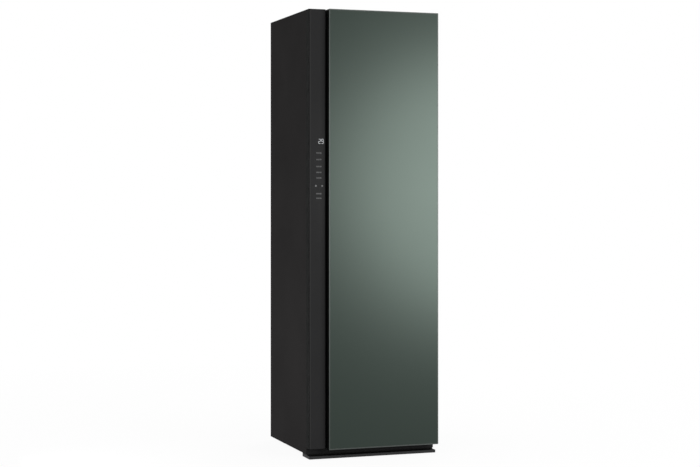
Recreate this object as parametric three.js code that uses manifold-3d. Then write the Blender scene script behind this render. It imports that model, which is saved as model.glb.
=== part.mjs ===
// Clothes care steam cabinet with a fixed control column and one side-hinged glass door.
// Millimetres. X runs to the right, the front looks along -Y, Z is up and the floor is zero.

import * as THREE from "three";
import * as BufferGeometryUtils from "three/addons/utils/BufferGeometryUtils.js";
import Module from "manifold-3d";

const wasm = await Module();
wasm.setup();

// Outer form
const cabinetWidth = 596;
const cabinetHeight = 1960;
const bodyDepth = 553;
const columnDepth = 35;
const doorProud = 28;
const columnWidth = 77;
const columnGap = 6.8;
const columnBottomHeight = 44.5;
const doorBottomHeight = 41.3;
const footHeight = 17;
const plinthHeight = 12.7;

// Clearances, the overrun of every cut and the tolerance for joining points
const seatGap = 0.3;
const cornerShare = 0.25;
const runningGap = 0.5;
const slideGap = 2;
const overrun = 5;
const weldTolerance = 0.001;

// Steps of rounded corners and of turned pieces
const cornerSteps = 2;
const discSteps = 8;
const turnSteps = 20;
const wheelSteps = 32;
const pipeSteps = 10;

// Sheet metal of the cabinet
const sheet = 1;
const flangeWidth = 14;
const lipHeight = 12;
const swageDepth = 5;
const swageWidth = 64;
const swageSlope = 10;
const swageCount = 4;
const baseSheet = 1.5;
const panLipHeight = 20;
const ventLength = 52;
const ventHeight = 7;
const ventPitch = 18;
const ventRows = 6;
const ventStart = 70;

// Plinth, toe kick and feet
const plinthDepth = 100;
const plinthInset = 3;
const plinthWall = 2.5;
const plinthChamfer = 2;
const plinthBays = 3;
const kickThickness = 2.5;
const kickInset = 2;
const kickChamfer = 1.5;
const footRadius = 20;
const footEdge = 5;
const footNeckRadius = 12;
const footStemRadius = 5;
const footStemRise = 22;
const footInset = 30;
const frontFootSetback = 25;
const rearFootInset = 112;

// Front frame, chamber and tank bay
const frameThickness = 12;
const mouthInset = 14.2;
const mouthRadius = 12;
const chamberSideGap = 40;
const chamberFloor = 330;
const chamberHeadroom = 84;
const chamberBackGap = 46;
const linerWall = 2;
const linerFlange = 10;
const bayInset = 10;
const bayFloor = 84;
const bayCeiling = 194;
const bayDepth = 134;
const bayWall = 2;

// Tanks
const tankWall = 2.5;
const tankRadius = 9;
const tankFrontSetback = 8;
const tankRearGap = 6;
const lidThickness = 4;
const lidHeadroom = 3;
const fillRadius = 14;
const gripWidth = 70;
const gripHeight = 26;
const gripDepth = 16;

// Control column
const columnPanelThickness = 4;
const columnWall = 2;
const columnEdgeRadius = 2;
const displayHeight = 1388;
const displayBoxHeight = 84;
const displayBoxDepth = 13;
const displayBoxWidth = 42;
const touchPadWidth = 26;
const touchPadHeight = 190;
const touchPadDrop = 24;
const boardThickness = 1.6;

// Door
const glassThickness = 4;
const trimWidth = 4.5;
const trimShelfWidth = 8;
const trimShelfThickness = 2.2;
const trimRadius = 2;
const doorSheet = 1.2;
const doorSideInset = 1;
const doorRearGap = 10.7;
const doorReturn = 12;
const capHeight = 34;
const capInset = 0.6;
const capWall = 3;
const hingeZone = 44;
const gripChannelWidth = 18;
const gripRecessDepth = 13.4;
const gripLip = 4;
const gripMouth = 16;
const gripBaseWall = 2.5;
const gripEdge = 1;
const doorLinerWall = 2;
const linerSideInset = 3;
const dikeWidth = 12;
const dikeHeight = 8.5;
const gasketWidth = 10;
const gasketOffset = 1;

// Door hinge
const pinInsetX = 15;
const pinInsetY = 14;
const pinRadius = 5;
const pinLength = 16;
const leafThickness = 4;
const leafRadius = 12;
const leafSetback = 14;
const hingeTabThickness = 3.6;
const hingeTabHeight = 11;
const hingeTabInset = 2;
const notchClearance = 8;

// Trouser press on the door
const pressSideGap = 64;
const pressHeight = 740;
const pressBottom = 780;
const pressBoardThickness = 10;
const pressPadThickness = 4;
const pressPadInset = 8;
const pressPanelThickness = 12;
const pressPanelWall = 3;
const pressRadius = 8;
const knuckleRadius = 6;
const knuckleSideGap = 0.9;
const knuckleCount = 5;
const pressPinRadius = 2.5;
const pinHeadHeight = 2;
const slotColumns = 4;
const slotRows = 9;
const slotSpacing = 20;
const slotHeight = 8;

// Press latch and its keeper
const latchInset = 16;
const latchHeight = 1150;
const latchRadius = 12;
const latchThickness = 6;
const latchStemRadius = 4;
const latchFingerLength = 24;
const latchFingerWidth = 10;
const latchTabLength = 17;
const keeperWall = 5;
const keeperHeight = 18;
const keeperSetback = 13;
const keeperLip = 3.5;
const keeperOverlap = 2;

// Moving hanger
const hangerTravel = 22;
const railLength = 340;
const railWidth = 24;
const railHeight = 18;
const railDrop = 122;
const notchCount = 6;
const notchRadius = 6;
const notchDepth = 4;
const stemSpacing = 220;
const stemWidth = 26;
const stemThickness = 6;
const carriageLength = 300;
const carriageWidth = 36;
const carriageThickness = 8;
const guideWall = 2;
const guideLip = 8;
const gearboxWidth = 96;
const gearboxDepth = 78;
const gearboxHeight = 40;
const gearboxRadius = 14;
const motorRadius = 19;
const motorLength = 56;
const coverSideGap = 43;
const coverDepth = 180;
const coverThickness = 10;
const coverRadius = 30;

// Things on the chamber walls, floor and ceiling
const lampLength = 220;
const lampWidth = 20;
const lampHeight = 6;
const lampSetback = 28;
const shelfHeight = 590;
const shelfRailDepth = 400;
const shelfRailHeight = 10;
const shelfRailWidth = 12;
const shelfRailWall = 3;
const shelfRailSetback = 50;
const shelfThickness = 9;
const shelfBorder = 12;
const shelfSlots = 11;
const shelfBar = 8;
const filterWidth = 200;
const filterDepth = 60;
const filterSetback = 42;
const filterDrop = 62;
const filterFlange = 6;
const filterFlangeHeight = 4;
const filterWall = 2;
const filterSlots = 9;
const filterBar = 6;
const filterTabWidth = 56;
const filterTabHeight = 12;
const filterTabThickness = 5;
const grilleMargin = 12;
const grilleThickness = 4;
const grilleSlats = 6;
const grilleBar = 4;
const nozzleRadius = 16;
const nozzleHeight = 14;
const nozzleTipShare = 0.7;
const nozzleShoulderShare = 0.9;
const nozzleStemRadius = 8;
const nozzleHoleRadius = 2.5;
const nozzleHoles = 6;
const nozzleInset = 48;
const nozzleSetback = 150;

// Air duct, heat exchangers and fan
const ductHalfWidth = 152;
const ductHeight = 128;
const ductSetback = 26;
const ductLength = 305;
const ductWall = 2.5;
const coilDepth = 60;
const coilSpacing = 10;
const finCount = 20;
const finThickness = 1;
const coilSpine = 8;
const coilRearGap = 62;
const fanDepth = 65;
const scrollWall = 2;
const scrollStartRadius = 68;
const scrollEndRadius = 102;
const tongueAngle = Math.PI / 6;
const fanDrop = 90;
const fanInletRadius = 46;
const wheelRadius = 59;
const wheelInnerRadius = 46;
const wheelWidth = 44;
const wheelFrontGap = 8;
const wheelPlate = 2;
const bladeCount = 24;
const bladeThickness = 1.4;
const bladeSweepAngle = 0.26;
const hubRadius = 14;
const hubLength = 26;
const shaftRadius = 4;
const fanMotorRadius = 32;
const fanMotorLength = 52;
const fanMotorWallShare = 0.8;
const fanMotorCapShare = 0.7;

// Compressor, steam generator and pumps
const compressorRadius = 56;
const compressorHeight = 150;
const compressorPlate = 130;
const compressorPlateThickness = 3;
const grommetRadius = 9;
const grommetReachShare = 1.2;
const domeRoundShare = 0.3;
const grommetHeight = 12;
const compressorSideGap = 8;
const compressorSetback = 300;
const steamRadius = 42;
const steamDomeShare = 0.35;
const saddleReachShare = 0.8;
const saddleRiseShare = 0.4;
const steamLength = 200;
const steamSideGap = 30;
const steamSetback = 190;
const steamRise = 34;
const steamStubRadius = 7;
const steamStubHeight = 12;
const steamStubSetback = 60;
const saddleWidth = 14;
const saddleInset = 40;
const steamPipeRadius = 6;
const steamPipeBore = 4;
const pumpRadius = 20;
const pumpLength = 62;
const pumpFoot = 34;
const pumpSpacing = 130;
const pumpRise = 6;
const pumpSetback = 40;
const pumpPortRadius = 5;
const pumpPortHeight = 14;
const pumpWallShare = 0.7;
const pumpStepShare = 0.75;
const pumpNeckShare = 0.8;
const pumpPortShare = 0.2;
const pumpFootShares = [0.1, 0.65];

// Control box and cord gland
const controlBoxWidth = 140;
const controlBoxDepth = 150;
const controlBoxHeight = 44;
const controlBoxRadius = 6;
const controlBoxInset = 20;
const controlBoxRib = 4;
const controlBoxRibs = 5;
const glandRadius = 9;
const glandBore = 4;
const glandNutRadius = 12;
const glandNutLength = 8;
const glandInset = 26;
const glandHeight = 120;

// Planes that several pieces share
const halfWidth = cabinetWidth / 2;
const frontFace = -(bodyDepth + columnDepth + doorProud) / 2;
const columnFace = frontFace + doorProud;
const bodyFront = columnFace + columnDepth;
const bodyBack = bodyFront + bodyDepth;
const underside = footHeight + seatGap;
const sideTop = cabinetHeight - sheet - seatGap;
const innerHalfWidth = halfWidth - sheet - seatGap;
const frameFront = bodyFront + sheet + seatGap;
const frameBack = frameFront + frameThickness;
const behindFrame = frameBack + seatGap;
const backPanelRear = bodyBack - sheet - seatGap;
const backLimit = backPanelRear - sheet - swageDepth - seatGap;
const panTop = underside + baseSheet;
const floorSeat = panTop + seatGap;
const panLipTop = panTop + panLipHeight;
const columnRight = -halfWidth + columnWidth;
const doorLeft = columnRight + columnGap;
const mouthLeft = doorLeft + mouthInset;
const chamberHalfWidth = halfWidth - chamberSideGap;
const mouthRight = chamberHalfWidth;
const chamberCeiling = cabinetHeight - chamberHeadroom;
const chamberBack = bodyBack - chamberBackGap;
const chamberMiddleY = (behindFrame + chamberBack) / 2;
const linerTop = chamberCeiling + linerWall;
const linerBottom = chamberFloor - linerWall;

// Materials
const steelPaint = finish(0x2b2a2a, 0.55, 0.2);
const blackPlastic = finish(0x17191a, 0.6, 0);
const columnGloss = finish(0x2e2e2f, 0.35, 0);
const greenGlass = finish(0x5d7064, 0.12, 0.3);
const edgeMetal = finish(0x6a6e6c, 0.35, 0.8);
const plinthGrey = finish(0x3e3e3e, 0.5, 0.1);
const kickDark = finish(0x1d1d1e, 0.7, 0);
const zincSteel = finish(0x9a9c9e, 0.4, 0.9);
const paleLiner = finish(0xd9dad6, 0.5, 0);
const greyPlastic = finish(0x8b8e8f, 0.6, 0);
const rubberBlack = finish(0x121212, 0.9, 0);
const padCloth = finish(0xb9b7b0, 0.95, 0);
const aluminium = finish(0xb9bcc0, 0.35, 0.9);
const lampWhite = finish(0xf4f2ea, 0.4, 0);
const tankClear = finish(0x9fb4bd, 0.15, 0);
const boardGreen = finish(0x1d4a33, 0.6, 0);
const castBlack = finish(0x101112, 0.5, 0.4);

function finish(color, roughness, metalness) {
  return new THREE.MeshStandardMaterial({ color, roughness, metalness });
}

// Solids from three.js geometry
function toSolid(geometry) {
  geometry.deleteAttribute("normal");
  geometry.deleteAttribute("uv");
  const merged = BufferGeometryUtils.mergeVertices(geometry, weldTolerance);
  return new wasm.Manifold(new wasm.Mesh({
    numProp: 3,
    vertProperties: new Float32Array(merged.attributes.position.array),
    triVerts: new Uint32Array(merged.index.array),
  }));
}

function toGeometry(solid) {
  const mesh = solid.getMesh();
  const geometry = new THREE.BufferGeometry();
  geometry.setAttribute("position", new THREE.BufferAttribute(mesh.vertProperties, mesh.numProp));
  geometry.setIndex(new THREE.BufferAttribute(mesh.triVerts, 1));
  geometry.computeVertexNormals();
  return geometry;
}

// Outlines
function polygon(points) {
  return new THREE.Shape(points.map(([across, up]) => new THREE.Vector2(across, up)));
}

function rectangle([left, right], [low, high], radius = 0) {
  if (radius === 0) {
    return polygon([[left, low], [right, low], [right, high], [left, high]]);
  }
  const shape = new THREE.Shape();
  shape.moveTo(left + radius, low);
  shape.absarc(right - radius, low + radius, radius, -Math.PI / 2, 0, false);
  shape.absarc(right - radius, high - radius, radius, 0, Math.PI / 2, false);
  shape.absarc(left + radius, high - radius, radius, Math.PI / 2, Math.PI, false);
  shape.absarc(left + radius, low + radius, radius, Math.PI, Math.PI * 1.5, false);
  return shape;
}

function around(middle, size) {
  return [middle - size / 2, middle + size / 2];
}

function grown([low, high], amount) {
  return [low - amount, high + amount];
}

// Extrusions of a plan, of a front elevation and of a side elevation
function extruded(outline, length, arcSteps) {
  return new THREE.ExtrudeGeometry(outline, {
    depth: length,
    bevelEnabled: false,
    curveSegments: arcSteps,
  });
}

function upright(outline, [bottom, top], arcSteps = cornerSteps) {
  const geometry = extruded(outline, top - bottom, arcSteps);
  geometry.translate(0, 0, bottom);
  return toSolid(geometry);
}

function facing(outline, [front, back], arcSteps = cornerSteps) {
  const geometry = extruded(outline, back - front, arcSteps);
  geometry.rotateX(Math.PI / 2);
  geometry.translate(0, back, 0);
  return toSolid(geometry);
}

function crossing(outline, [left, right], arcSteps = cornerSteps) {
  const geometry = extruded(outline, right - left, arcSteps);
  const turn = new THREE.Matrix4();
  turn.makeBasis(new THREE.Vector3(0, 1, 0), new THREE.Vector3(0, 0, 1), new THREE.Vector3(1, 0, 0));
  geometry.applyMatrix4(turn);
  geometry.translate(left, 0, 0);
  return toSolid(geometry);
}

function block([left, right], [front, back], [bottom, top]) {
  const geometry = new THREE.BoxGeometry(right - left, back - front, top - bottom);
  geometry.translate((left + right) / 2, (front + back) / 2, (bottom + top) / 2);
  return toSolid(geometry);
}

// Turned pieces: a profile of radius and place along the axis
function turned(profile, [x, y, z], axis = "z", steps = turnSteps) {
  const points = profile.map(([radius, along]) => new THREE.Vector2(radius, along));
  const geometry = new THREE.LatheGeometry(points, steps);
  if (axis === "z") {
    geometry.rotateX(Math.PI / 2);
  }
  if (axis === "x") {
    geometry.rotateZ(-Math.PI / 2);
  }
  geometry.translate(x, y, z);
  return toSolid(geometry);
}

function rod(radius, [low, high], centre, axis = "z", steps = turnSteps) {
  return turned([[0, low], [radius, low], [radius, high], [0, high]], centre, axis, steps);
}

// Cuts and joins of several solids
function cut(solid, ...tools) {
  return tools.reduce((rest, tool) => rest.subtract(tool), solid);
}

function join(...solids) {
  return solids.reduce((sum, solid) => sum.add(solid));
}

// A ring: one outline extruded, less the inner outline
function ring(extrude, outer, inner, span) {
  return cut(extrude(outer, span), extrude(inner, grown(span, overrun)));
}

// One group for the fixed cabinet and one for each piece that moves
const cabinet = new THREE.Group();
const door = new THREE.Group();
cabinet.add(door);

function piece(group, name, solid, material) {
  const mesh = new THREE.Mesh(toGeometry(solid), material);
  mesh.name = name;
  group.add(mesh);
  return mesh;
}

// Side panels: a folded sheet with a return flange at the front and at the back
function sidePanel(side) {
  const outside = side * halfWidth;
  const inside = side * (halfWidth - sheet);
  const flange = side * (halfWidth - flangeWidth);
  return upright(polygon([
    [outside, bodyFront],
    [outside, bodyBack],
    [flange, bodyBack],
    [flange, bodyBack - sheet],
    [inside, bodyBack - sheet],
    [inside, bodyFront + sheet],
    [flange, bodyFront + sheet],
    [flange, bodyFront],
  ]), [underside, sideTop]);
}

piece(cabinet, "left_side_panel", sidePanel(-1), steelPaint);
piece(cabinet, "right_side_panel", sidePanel(1), steelPaint);

// Back panel: a sheet with pressed swages, vent slots and the hole for the cord gland
function swagedOutline() {
  const pitch = 2 * innerHalfWidth / swageCount;
  const rear = [[-innerHalfWidth, backPanelRear]];
  for (let index = 0; index < swageCount; index += 1) {
    const middle = -innerHalfWidth + pitch * (index + 0.5);
    rear.push([middle - swageWidth / 2, backPanelRear]);
    rear.push([middle - swageWidth / 2 + swageSlope, backPanelRear - swageDepth]);
    rear.push([middle + swageWidth / 2 - swageSlope, backPanelRear - swageDepth]);
    rear.push([middle + swageWidth / 2, backPanelRear]);
  }
  rear.push([innerHalfWidth, backPanelRear]);
  const front = rear.map(([x, y]) => [x, y - sheet]).reverse();
  return polygon([...rear, ...front]);
}

function ventSlots() {
  const pitch = 2 * innerHalfWidth / swageCount;
  const slots = [];
  for (let column = 1; column < swageCount; column += 1) {
    const middle = -innerHalfWidth + pitch * column;
    for (let row = 0; row < ventRows; row += 1) {
      const low = ventStart + row * ventPitch;
      const slot = rectangle(around(middle, ventLength), [low, low + ventHeight]);
      slots.push(facing(slot, grown([backPanelRear - sheet, backPanelRear], overrun)));
    }
  }
  return slots;
}

const glandX = -innerHalfWidth + glandInset;
const glandHole = rod(
  glandRadius + seatGap,
  grown([backLimit, bodyBack], overrun),
  [glandX, 0, glandHeight],
  "y",
);
const backSheet = upright(swagedOutline(), [underside, sideTop]);
piece(cabinet, "back_panel", cut(backSheet, ...ventSlots(), glandHole), steelPaint);

// Top panel: a flat sheet with a lip that drops inside the sides
function topPanel() {
  const lipSpanX = [-innerHalfWidth, innerHalfWidth];
  const lipSpanY = [behindFrame, backLimit];
  const skin = upright(
    rectangle([-halfWidth, halfWidth], [bodyFront, bodyBack]),
    [cabinetHeight - sheet, cabinetHeight],
  );
  const lip = ring(
    upright,
    rectangle(lipSpanX, lipSpanY),
    rectangle(grown(lipSpanX, -sheet), grown(lipSpanY, -sheet)),
    [cabinetHeight - sheet - lipHeight, cabinetHeight],
  );
  return join(skin, lip);
}

piece(cabinet, "top_panel", topPanel(), steelPaint);

// Feet: a rubber-edged disc, a collar under the base pan and a stem through it
const plinthBack = columnFace + plinthDepth;
const footX = halfWidth - footInset - footRadius;
const frontFootY = plinthBack + frontFootSetback + footRadius;
const rearFootY = bodyBack - rearFootInset;
const footPlaces = {
  front_left_foot: [-footX, frontFootY],
  front_right_foot: [footX, frontFootY],
  rear_left_foot: [-footX, rearFootY],
  rear_right_foot: [footX, rearFootY],
};

function foot() {
  return turned([
    [0, 0],
    [footRadius, 0],
    [footRadius, footEdge],
    [footNeckRadius, footHeight - footEdge],
    [footNeckRadius, footHeight],
    [footStemRadius, footHeight],
    [footStemRadius, panTop + footStemRise],
    [0, panTop + footStemRise],
  ], [0, 0, 0]);
}

for (const [name, [x, y]] of Object.entries(footPlaces)) {
  const mesh = piece(cabinet, name, foot(), rubberBlack);
  mesh.position.set(x, y, 0);
}

// Base pan: a tray with a lip all round and a hole for each foot's stem
function basePan() {
  const spanX = [-innerHalfWidth, innerHalfWidth];
  const spanY = [frameFront, backLimit];
  const tray = join(
    upright(rectangle(spanX, spanY), [underside, panTop]),
    ring(
      upright,
      rectangle(spanX, spanY),
      rectangle(grown(spanX, -baseSheet), grown(spanY, -baseSheet)),
      [underside, panLipTop],
    ),
  );
  const holes = Object.values(footPlaces).map(([x, y]) => rod(
    footStemRadius + runningGap,
    grown([underside, panTop], overrun),
    [x, y, 0],
  ));
  return cut(tray, ...holes);
}

piece(cabinet, "base_pan", basePan(), zincSteel);

// Toe kick: a strip in front of the side flanges, under the column and the door
function toeKick() {
  const rear = bodyFront - seatGap;
  const front = rear - kickThickness;
  const top = doorBottomHeight - slideGap / 2;
  return crossing(polygon([
    [rear, underside],
    [rear, top],
    [front + kickChamfer, top],
    [front, top - kickChamfer],
    [front, underside],
  ]), [-halfWidth + kickInset, halfWidth - kickInset]);
}

piece(cabinet, "toe_kick", toeKick(), kickDark);

// Plinth plate: an open-bottomed tray on the floor with ribs inside, higher at the rear under the pan
function plinthPlate() {
  const spanX = [-halfWidth + plinthInset, halfWidth - plinthInset];
  const outer = crossing(polygon([
    [columnFace, 0],
    [plinthBack, 0],
    [plinthBack, footHeight],
    [frameFront, footHeight],
    [frameFront, plinthHeight],
    [columnFace + plinthChamfer, plinthHeight],
    [columnFace, plinthHeight - plinthChamfer],
  ]), spanX);
  const bayWidth = (spanX[1] - spanX[0] - plinthWall) / plinthBays;
  const hollows = [];
  for (let index = 0; index < plinthBays; index += 1) {
    const left = spanX[0] + plinthWall + index * bayWidth;
    hollows.push(block(
      [left, left + bayWidth - plinthWall],
      grown([columnFace, plinthBack], -plinthWall),
      [-overrun, plinthHeight - plinthWall],
    ));
  }
  return cut(outer, ...hollows);
}

piece(cabinet, "base_plate", plinthPlate(), plinthGrey);

// Front frame: one moulding round the chamber mouth and the tank bay
const bayLeft = mouthLeft + bayInset;
const bayRight = mouthRight - bayInset;

function frontFrame() {
  const outline = rectangle([-innerHalfWidth, innerHalfWidth], [panLipTop + seatGap, sideTop]);
  const through = grown([frameFront, frameBack], overrun);
  return cut(
    facing(outline, [frameFront, frameBack]),
    facing(rectangle([mouthLeft, mouthRight], [chamberFloor, chamberCeiling], mouthRadius), through),
    facing(rectangle([bayLeft, bayRight], [bayFloor, bayCeiling]), through),
  );
}

piece(cabinet, "front_frame", frontFrame(), greyPlastic);

// Places of the openings in the chamber liner
const hangerX = 0;
const stemSlotWidth = stemWidth + 2 * (hangerTravel + slideGap);
const stemSlotDepth = stemThickness + 2 * slideGap;
const stemPlaces = [hangerX - stemSpacing / 2, hangerX + stemSpacing / 2];
const filterSpanX = [-filterWidth / 2, filterWidth / 2];
const filterFront = behindFrame + filterSetback;
const filterSpanY = [filterFront, filterFront + filterDepth];
const ductTop = linerBottom - seatGap;
const ductFront = behindFrame + ductSetback;
const ductRear = ductFront + ductLength;
const fanFront = ductRear + seatGap;
const fanSpanY = [fanFront, fanFront + fanDepth];
const fanX = 0;
const fanZ = ductTop - fanDrop;
const tongueX = fanX + scrollStartRadius * Math.cos(tongueAngle);
const mouthSpanX = [tongueX + scrollWall, fanX + scrollEndRadius - scrollWall];
const mouthSpanY = grown(fanSpanY, -scrollWall);
const nozzleX = -chamberHalfWidth + nozzleInset;
const nozzleY = behindFrame + nozzleSetback;

function stemSlots(spanZ) {
  const spanY = around(chamberMiddleY, stemSlotDepth);
  return stemPlaces.map((x) => block(around(x, stemSlotWidth), spanY, spanZ));
}

// Chamber liner: floor, ceiling and sides in one moulding with a front flange, open at both ends
const linerInsideX = [-chamberHalfWidth, chamberHalfWidth];
const linerSpanX = grown(linerInsideX, linerWall);

function chamberLiner() {
  const floorCut = grown([linerBottom, chamberFloor], overrun);
  const mouth = rectangle(linerInsideX, [chamberFloor, chamberCeiling]);
  const outside = rectangle(linerSpanX, [linerBottom, linerTop]);
  const flangeSpanZ = grown([linerBottom, linerTop], linerFlange);
  const flangeOutline = rectangle(grown(linerSpanX, linerFlange), flangeSpanZ);
  const shell = ring(facing, outside, mouth, [behindFrame, chamberBack - seatGap]);
  const flange = ring(facing, flangeOutline, mouth, [behindFrame, behindFrame + linerWall]);
  return cut(
    join(shell, flange),
    block(grown(filterSpanX, runningGap), grown(filterSpanY, runningGap), floorCut),
    block(mouthSpanX, mouthSpanY, floorCut),
    rod(nozzleStemRadius + runningGap, floorCut, [nozzleX, nozzleY, 0]),
    ...stemSlots(grown([chamberCeiling, linerTop], overrun)),
  );
}

function chamberRear() {
  return facing(rectangle(linerSpanX, [linerBottom, linerTop]), [chamberBack, chamberBack + linerWall]);
}

piece(cabinet, "chamber_liner", chamberLiner(), paleLiner);
piece(cabinet, "chamber_back", chamberRear(), paleLiner);

// Ceiling cover with the two slots that the hanger's stems pass through
function ceilingCover() {
  const top = chamberCeiling - seatGap;
  const plate = upright(rectangle(
    around(hangerX, 2 * (chamberHalfWidth - coverSideGap)),
    around(chamberMiddleY, coverDepth),
    coverRadius,
  ), [top - coverThickness, top]);
  return cut(plate, ...stemSlots(grown([top - coverThickness, top], overrun)));
}

piece(cabinet, "ceiling_cover", ceilingCover(), greyPlastic);

// Chamber lamp: a bar with a rounded lens along the ceiling's front edge
function chamberLamp() {
  const front = behindFrame + lampSetback;
  const top = chamberCeiling - seatGap;
  const middle = front + lampWidth / 2;
  const lens = new THREE.Shape();
  lens.moveTo(front, top);
  lens.absellipse(middle, top, lampWidth / 2, lampHeight, Math.PI, Math.PI * 2, false, 0);
  return crossing(lens, around((mouthLeft + mouthRight) / 2, lampLength), discSteps / 2);
}

piece(cabinet, "chamber_lamp", chamberLamp(), lampWhite);

// Shelf rails: an angle on each side wall
function shelfRail(side) {
  const wall = side * (chamberHalfWidth - seatGap);
  const web = wall - side * shelfRailWall;
  const edge = wall - side * shelfRailWidth;
  const front = behindFrame + shelfRailSetback;
  return facing(polygon([
    [wall, shelfHeight - shelfRailHeight],
    [wall, shelfHeight + shelfThickness],
    [web, shelfHeight + shelfThickness],
    [web, shelfHeight],
    [edge, shelfHeight],
    [edge, shelfHeight - shelfRailWall],
  ]), [front, front + shelfRailDepth]);
}

piece(cabinet, "left_shelf_rail", shelfRail(-1), greyPlastic);
piece(cabinet, "right_shelf_rail", shelfRail(1), greyPlastic);

// Shelf rack: a frame with long slots, lifted off its rails
function shelfRack() {
  const half = chamberHalfWidth - seatGap - shelfRailWall - runningGap;
  const front = behindFrame + shelfRailSetback;
  const spanY = [front, front + shelfRailDepth];
  const spanZ = [shelfHeight + seatGap, shelfHeight + seatGap + shelfThickness];
  const slotSpan = (2 * half - 2 * shelfBorder + shelfBar) / shelfSlots;
  const slotY = grown(spanY, -shelfBorder);
  const slots = [];
  for (let index = 0; index < shelfSlots; index += 1) {
    const left = -half + shelfBorder + index * slotSpan;
    slots.push(block([left, left + slotSpan - shelfBar], slotY, grown(spanZ, overrun)));
  }
  return cut(upright(rectangle([-half, half], spanY, shelfBorder / 2), spanZ), ...slots);
}

piece(cabinet, "shelf_rack", shelfRack(), greyPlastic);

// Lint filter: a slotted lid on a basket that drops into the duct, with a pull tab
function lintFilter() {
  const lidBottom = chamberFloor + seatGap;
  const lidTop = lidBottom + filterFlangeHeight;
  const floor = lidBottom - filterDrop;
  const basketX = grown(filterSpanX, -seatGap);
  const basketY = grown(filterSpanY, -seatGap);
  const insideX = grown(basketX, -filterWall);
  const insideY = grown(basketY, -filterWall);
  const body = join(
    block(grown(filterSpanX, filterFlange), grown(filterSpanY, filterFlange), [lidBottom, lidTop]),
    block(basketX, basketY, [floor, lidTop]),
    block(
      around(hangerX, filterTabWidth),
      around((filterSpanY[0] + filterSpanY[1]) / 2, filterTabThickness),
      [lidBottom, lidTop + filterTabHeight],
    ),
  );
  const slotSpan = (insideX[1] - insideX[0] + filterBar) / filterSlots;
  const half = (insideY[1] - insideY[0]) / 2 - filterTabThickness;
  const slots = [];
  for (let index = 0; index < filterSlots; index += 1) {
    const left = insideX[0] + index * slotSpan;
    const spanX = [left, left + slotSpan - filterBar];
    slots.push(block(spanX, [insideY[0], insideY[0] + half], [floor - overrun, lidTop + overrun]));
    slots.push(block(spanX, [insideY[1] - half, insideY[1]], [floor - overrun, lidTop + overrun]));
  }
  const hollow = block(insideX, insideY, [floor + filterWall, lidBottom]);
  return cut(body, hollow, ...slots);
}

piece(cabinet, "lint_filter", lintFilter(), greyPlastic);

// Air outlet grille: slanted slats over the fan's mouth
function outletGrille() {
  const spanX = grown(mouthSpanX, grilleMargin);
  const spanY = grown(mouthSpanY, grilleMargin);
  const spanZ = [chamberFloor + seatGap, chamberFloor + seatGap + grilleThickness];
  const slotSpan = (mouthSpanY[1] - mouthSpanY[0] + grilleBar) / grilleSlats;
  const slots = [];
  for (let index = 0; index < grilleSlats; index += 1) {
    const low = mouthSpanY[0] + index * slotSpan;
    const high = low + slotSpan - grilleBar;
    slots.push(crossing(polygon([
      [low, spanZ[0] - overrun],
      [high, spanZ[0] - overrun],
      [high + grilleBar / 2, spanZ[1] + overrun],
      [low + grilleBar / 2, spanZ[1] + overrun],
    ]), mouthSpanX));
  }
  return cut(upright(rectangle(spanX, spanY, grilleMargin / 2), spanZ), ...slots);
}

piece(cabinet, "air_outlet_grille", outletGrille(), greyPlastic);

// Steam nozzle: a domed head with a ring of holes and a stem through the floor
function steamNozzle() {
  const seat = chamberFloor + seatGap;
  const head = turned([
    [0, linerBottom - overrun],
    [nozzleStemRadius, linerBottom - overrun],
    [nozzleStemRadius, seat],
    [nozzleRadius, seat],
    [nozzleRadius, seat + nozzleHeight / 2],
    [nozzleRadius * nozzleTipShare, seat + nozzleHeight * nozzleShoulderShare],
    [0, seat + nozzleHeight],
  ], [nozzleX, nozzleY, 0]);
  const holes = [];
  for (let index = 0; index < nozzleHoles; index += 1) {
    const angle = index / nozzleHoles * Math.PI * 2;
    holes.push(rod(nozzleHoleRadius, [seat + nozzleHeight * cornerShare, seat + nozzleHeight + overrun], [
      nozzleX + nozzleRadius / 2 * Math.cos(angle),
      nozzleY + nozzleRadius / 2 * Math.sin(angle),
      0,
    ], "z", discSteps));
  }
  return cut(head, ...holes);
}

piece(cabinet, "steam_nozzle", steamNozzle(), greyPlastic);

// Tank bay: two pockets side by side behind the front frame
const pocketMiddle = (bayLeft + bayRight) / 2;
const bayBack = behindFrame + bayDepth;
const bayPockets = {
  supply_tank: [bayLeft, pocketMiddle - bayWall / 2],
  drain_tank: [pocketMiddle + bayWall / 2, bayRight],
};

function tankBay() {
  const outer = block(
    grown([bayLeft, bayRight], bayWall),
    [behindFrame, bayBack],
    grown([bayFloor, bayCeiling], bayWall),
  );
  const pockets = Object.values(bayPockets).map((spanX) => block(
    spanX,
    [behindFrame - overrun, bayBack - bayWall],
    [bayFloor, bayCeiling],
  ));
  return cut(outer, ...pockets);
}

piece(cabinet, "tank_bay", tankBay(), greyPlastic);

// Water tanks: an open tub with a grip recess in its front, and a lid with a filling hole
const tankFront = frameFront + tankFrontSetback;
const tankSpanY = [tankFront, bayBack - bayWall - tankRearGap];
const lidTop = bayCeiling - lidHeadroom;
const tubTop = lidTop - lidThickness - seatGap;
const tubBottom = bayFloor + seatGap;

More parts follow.
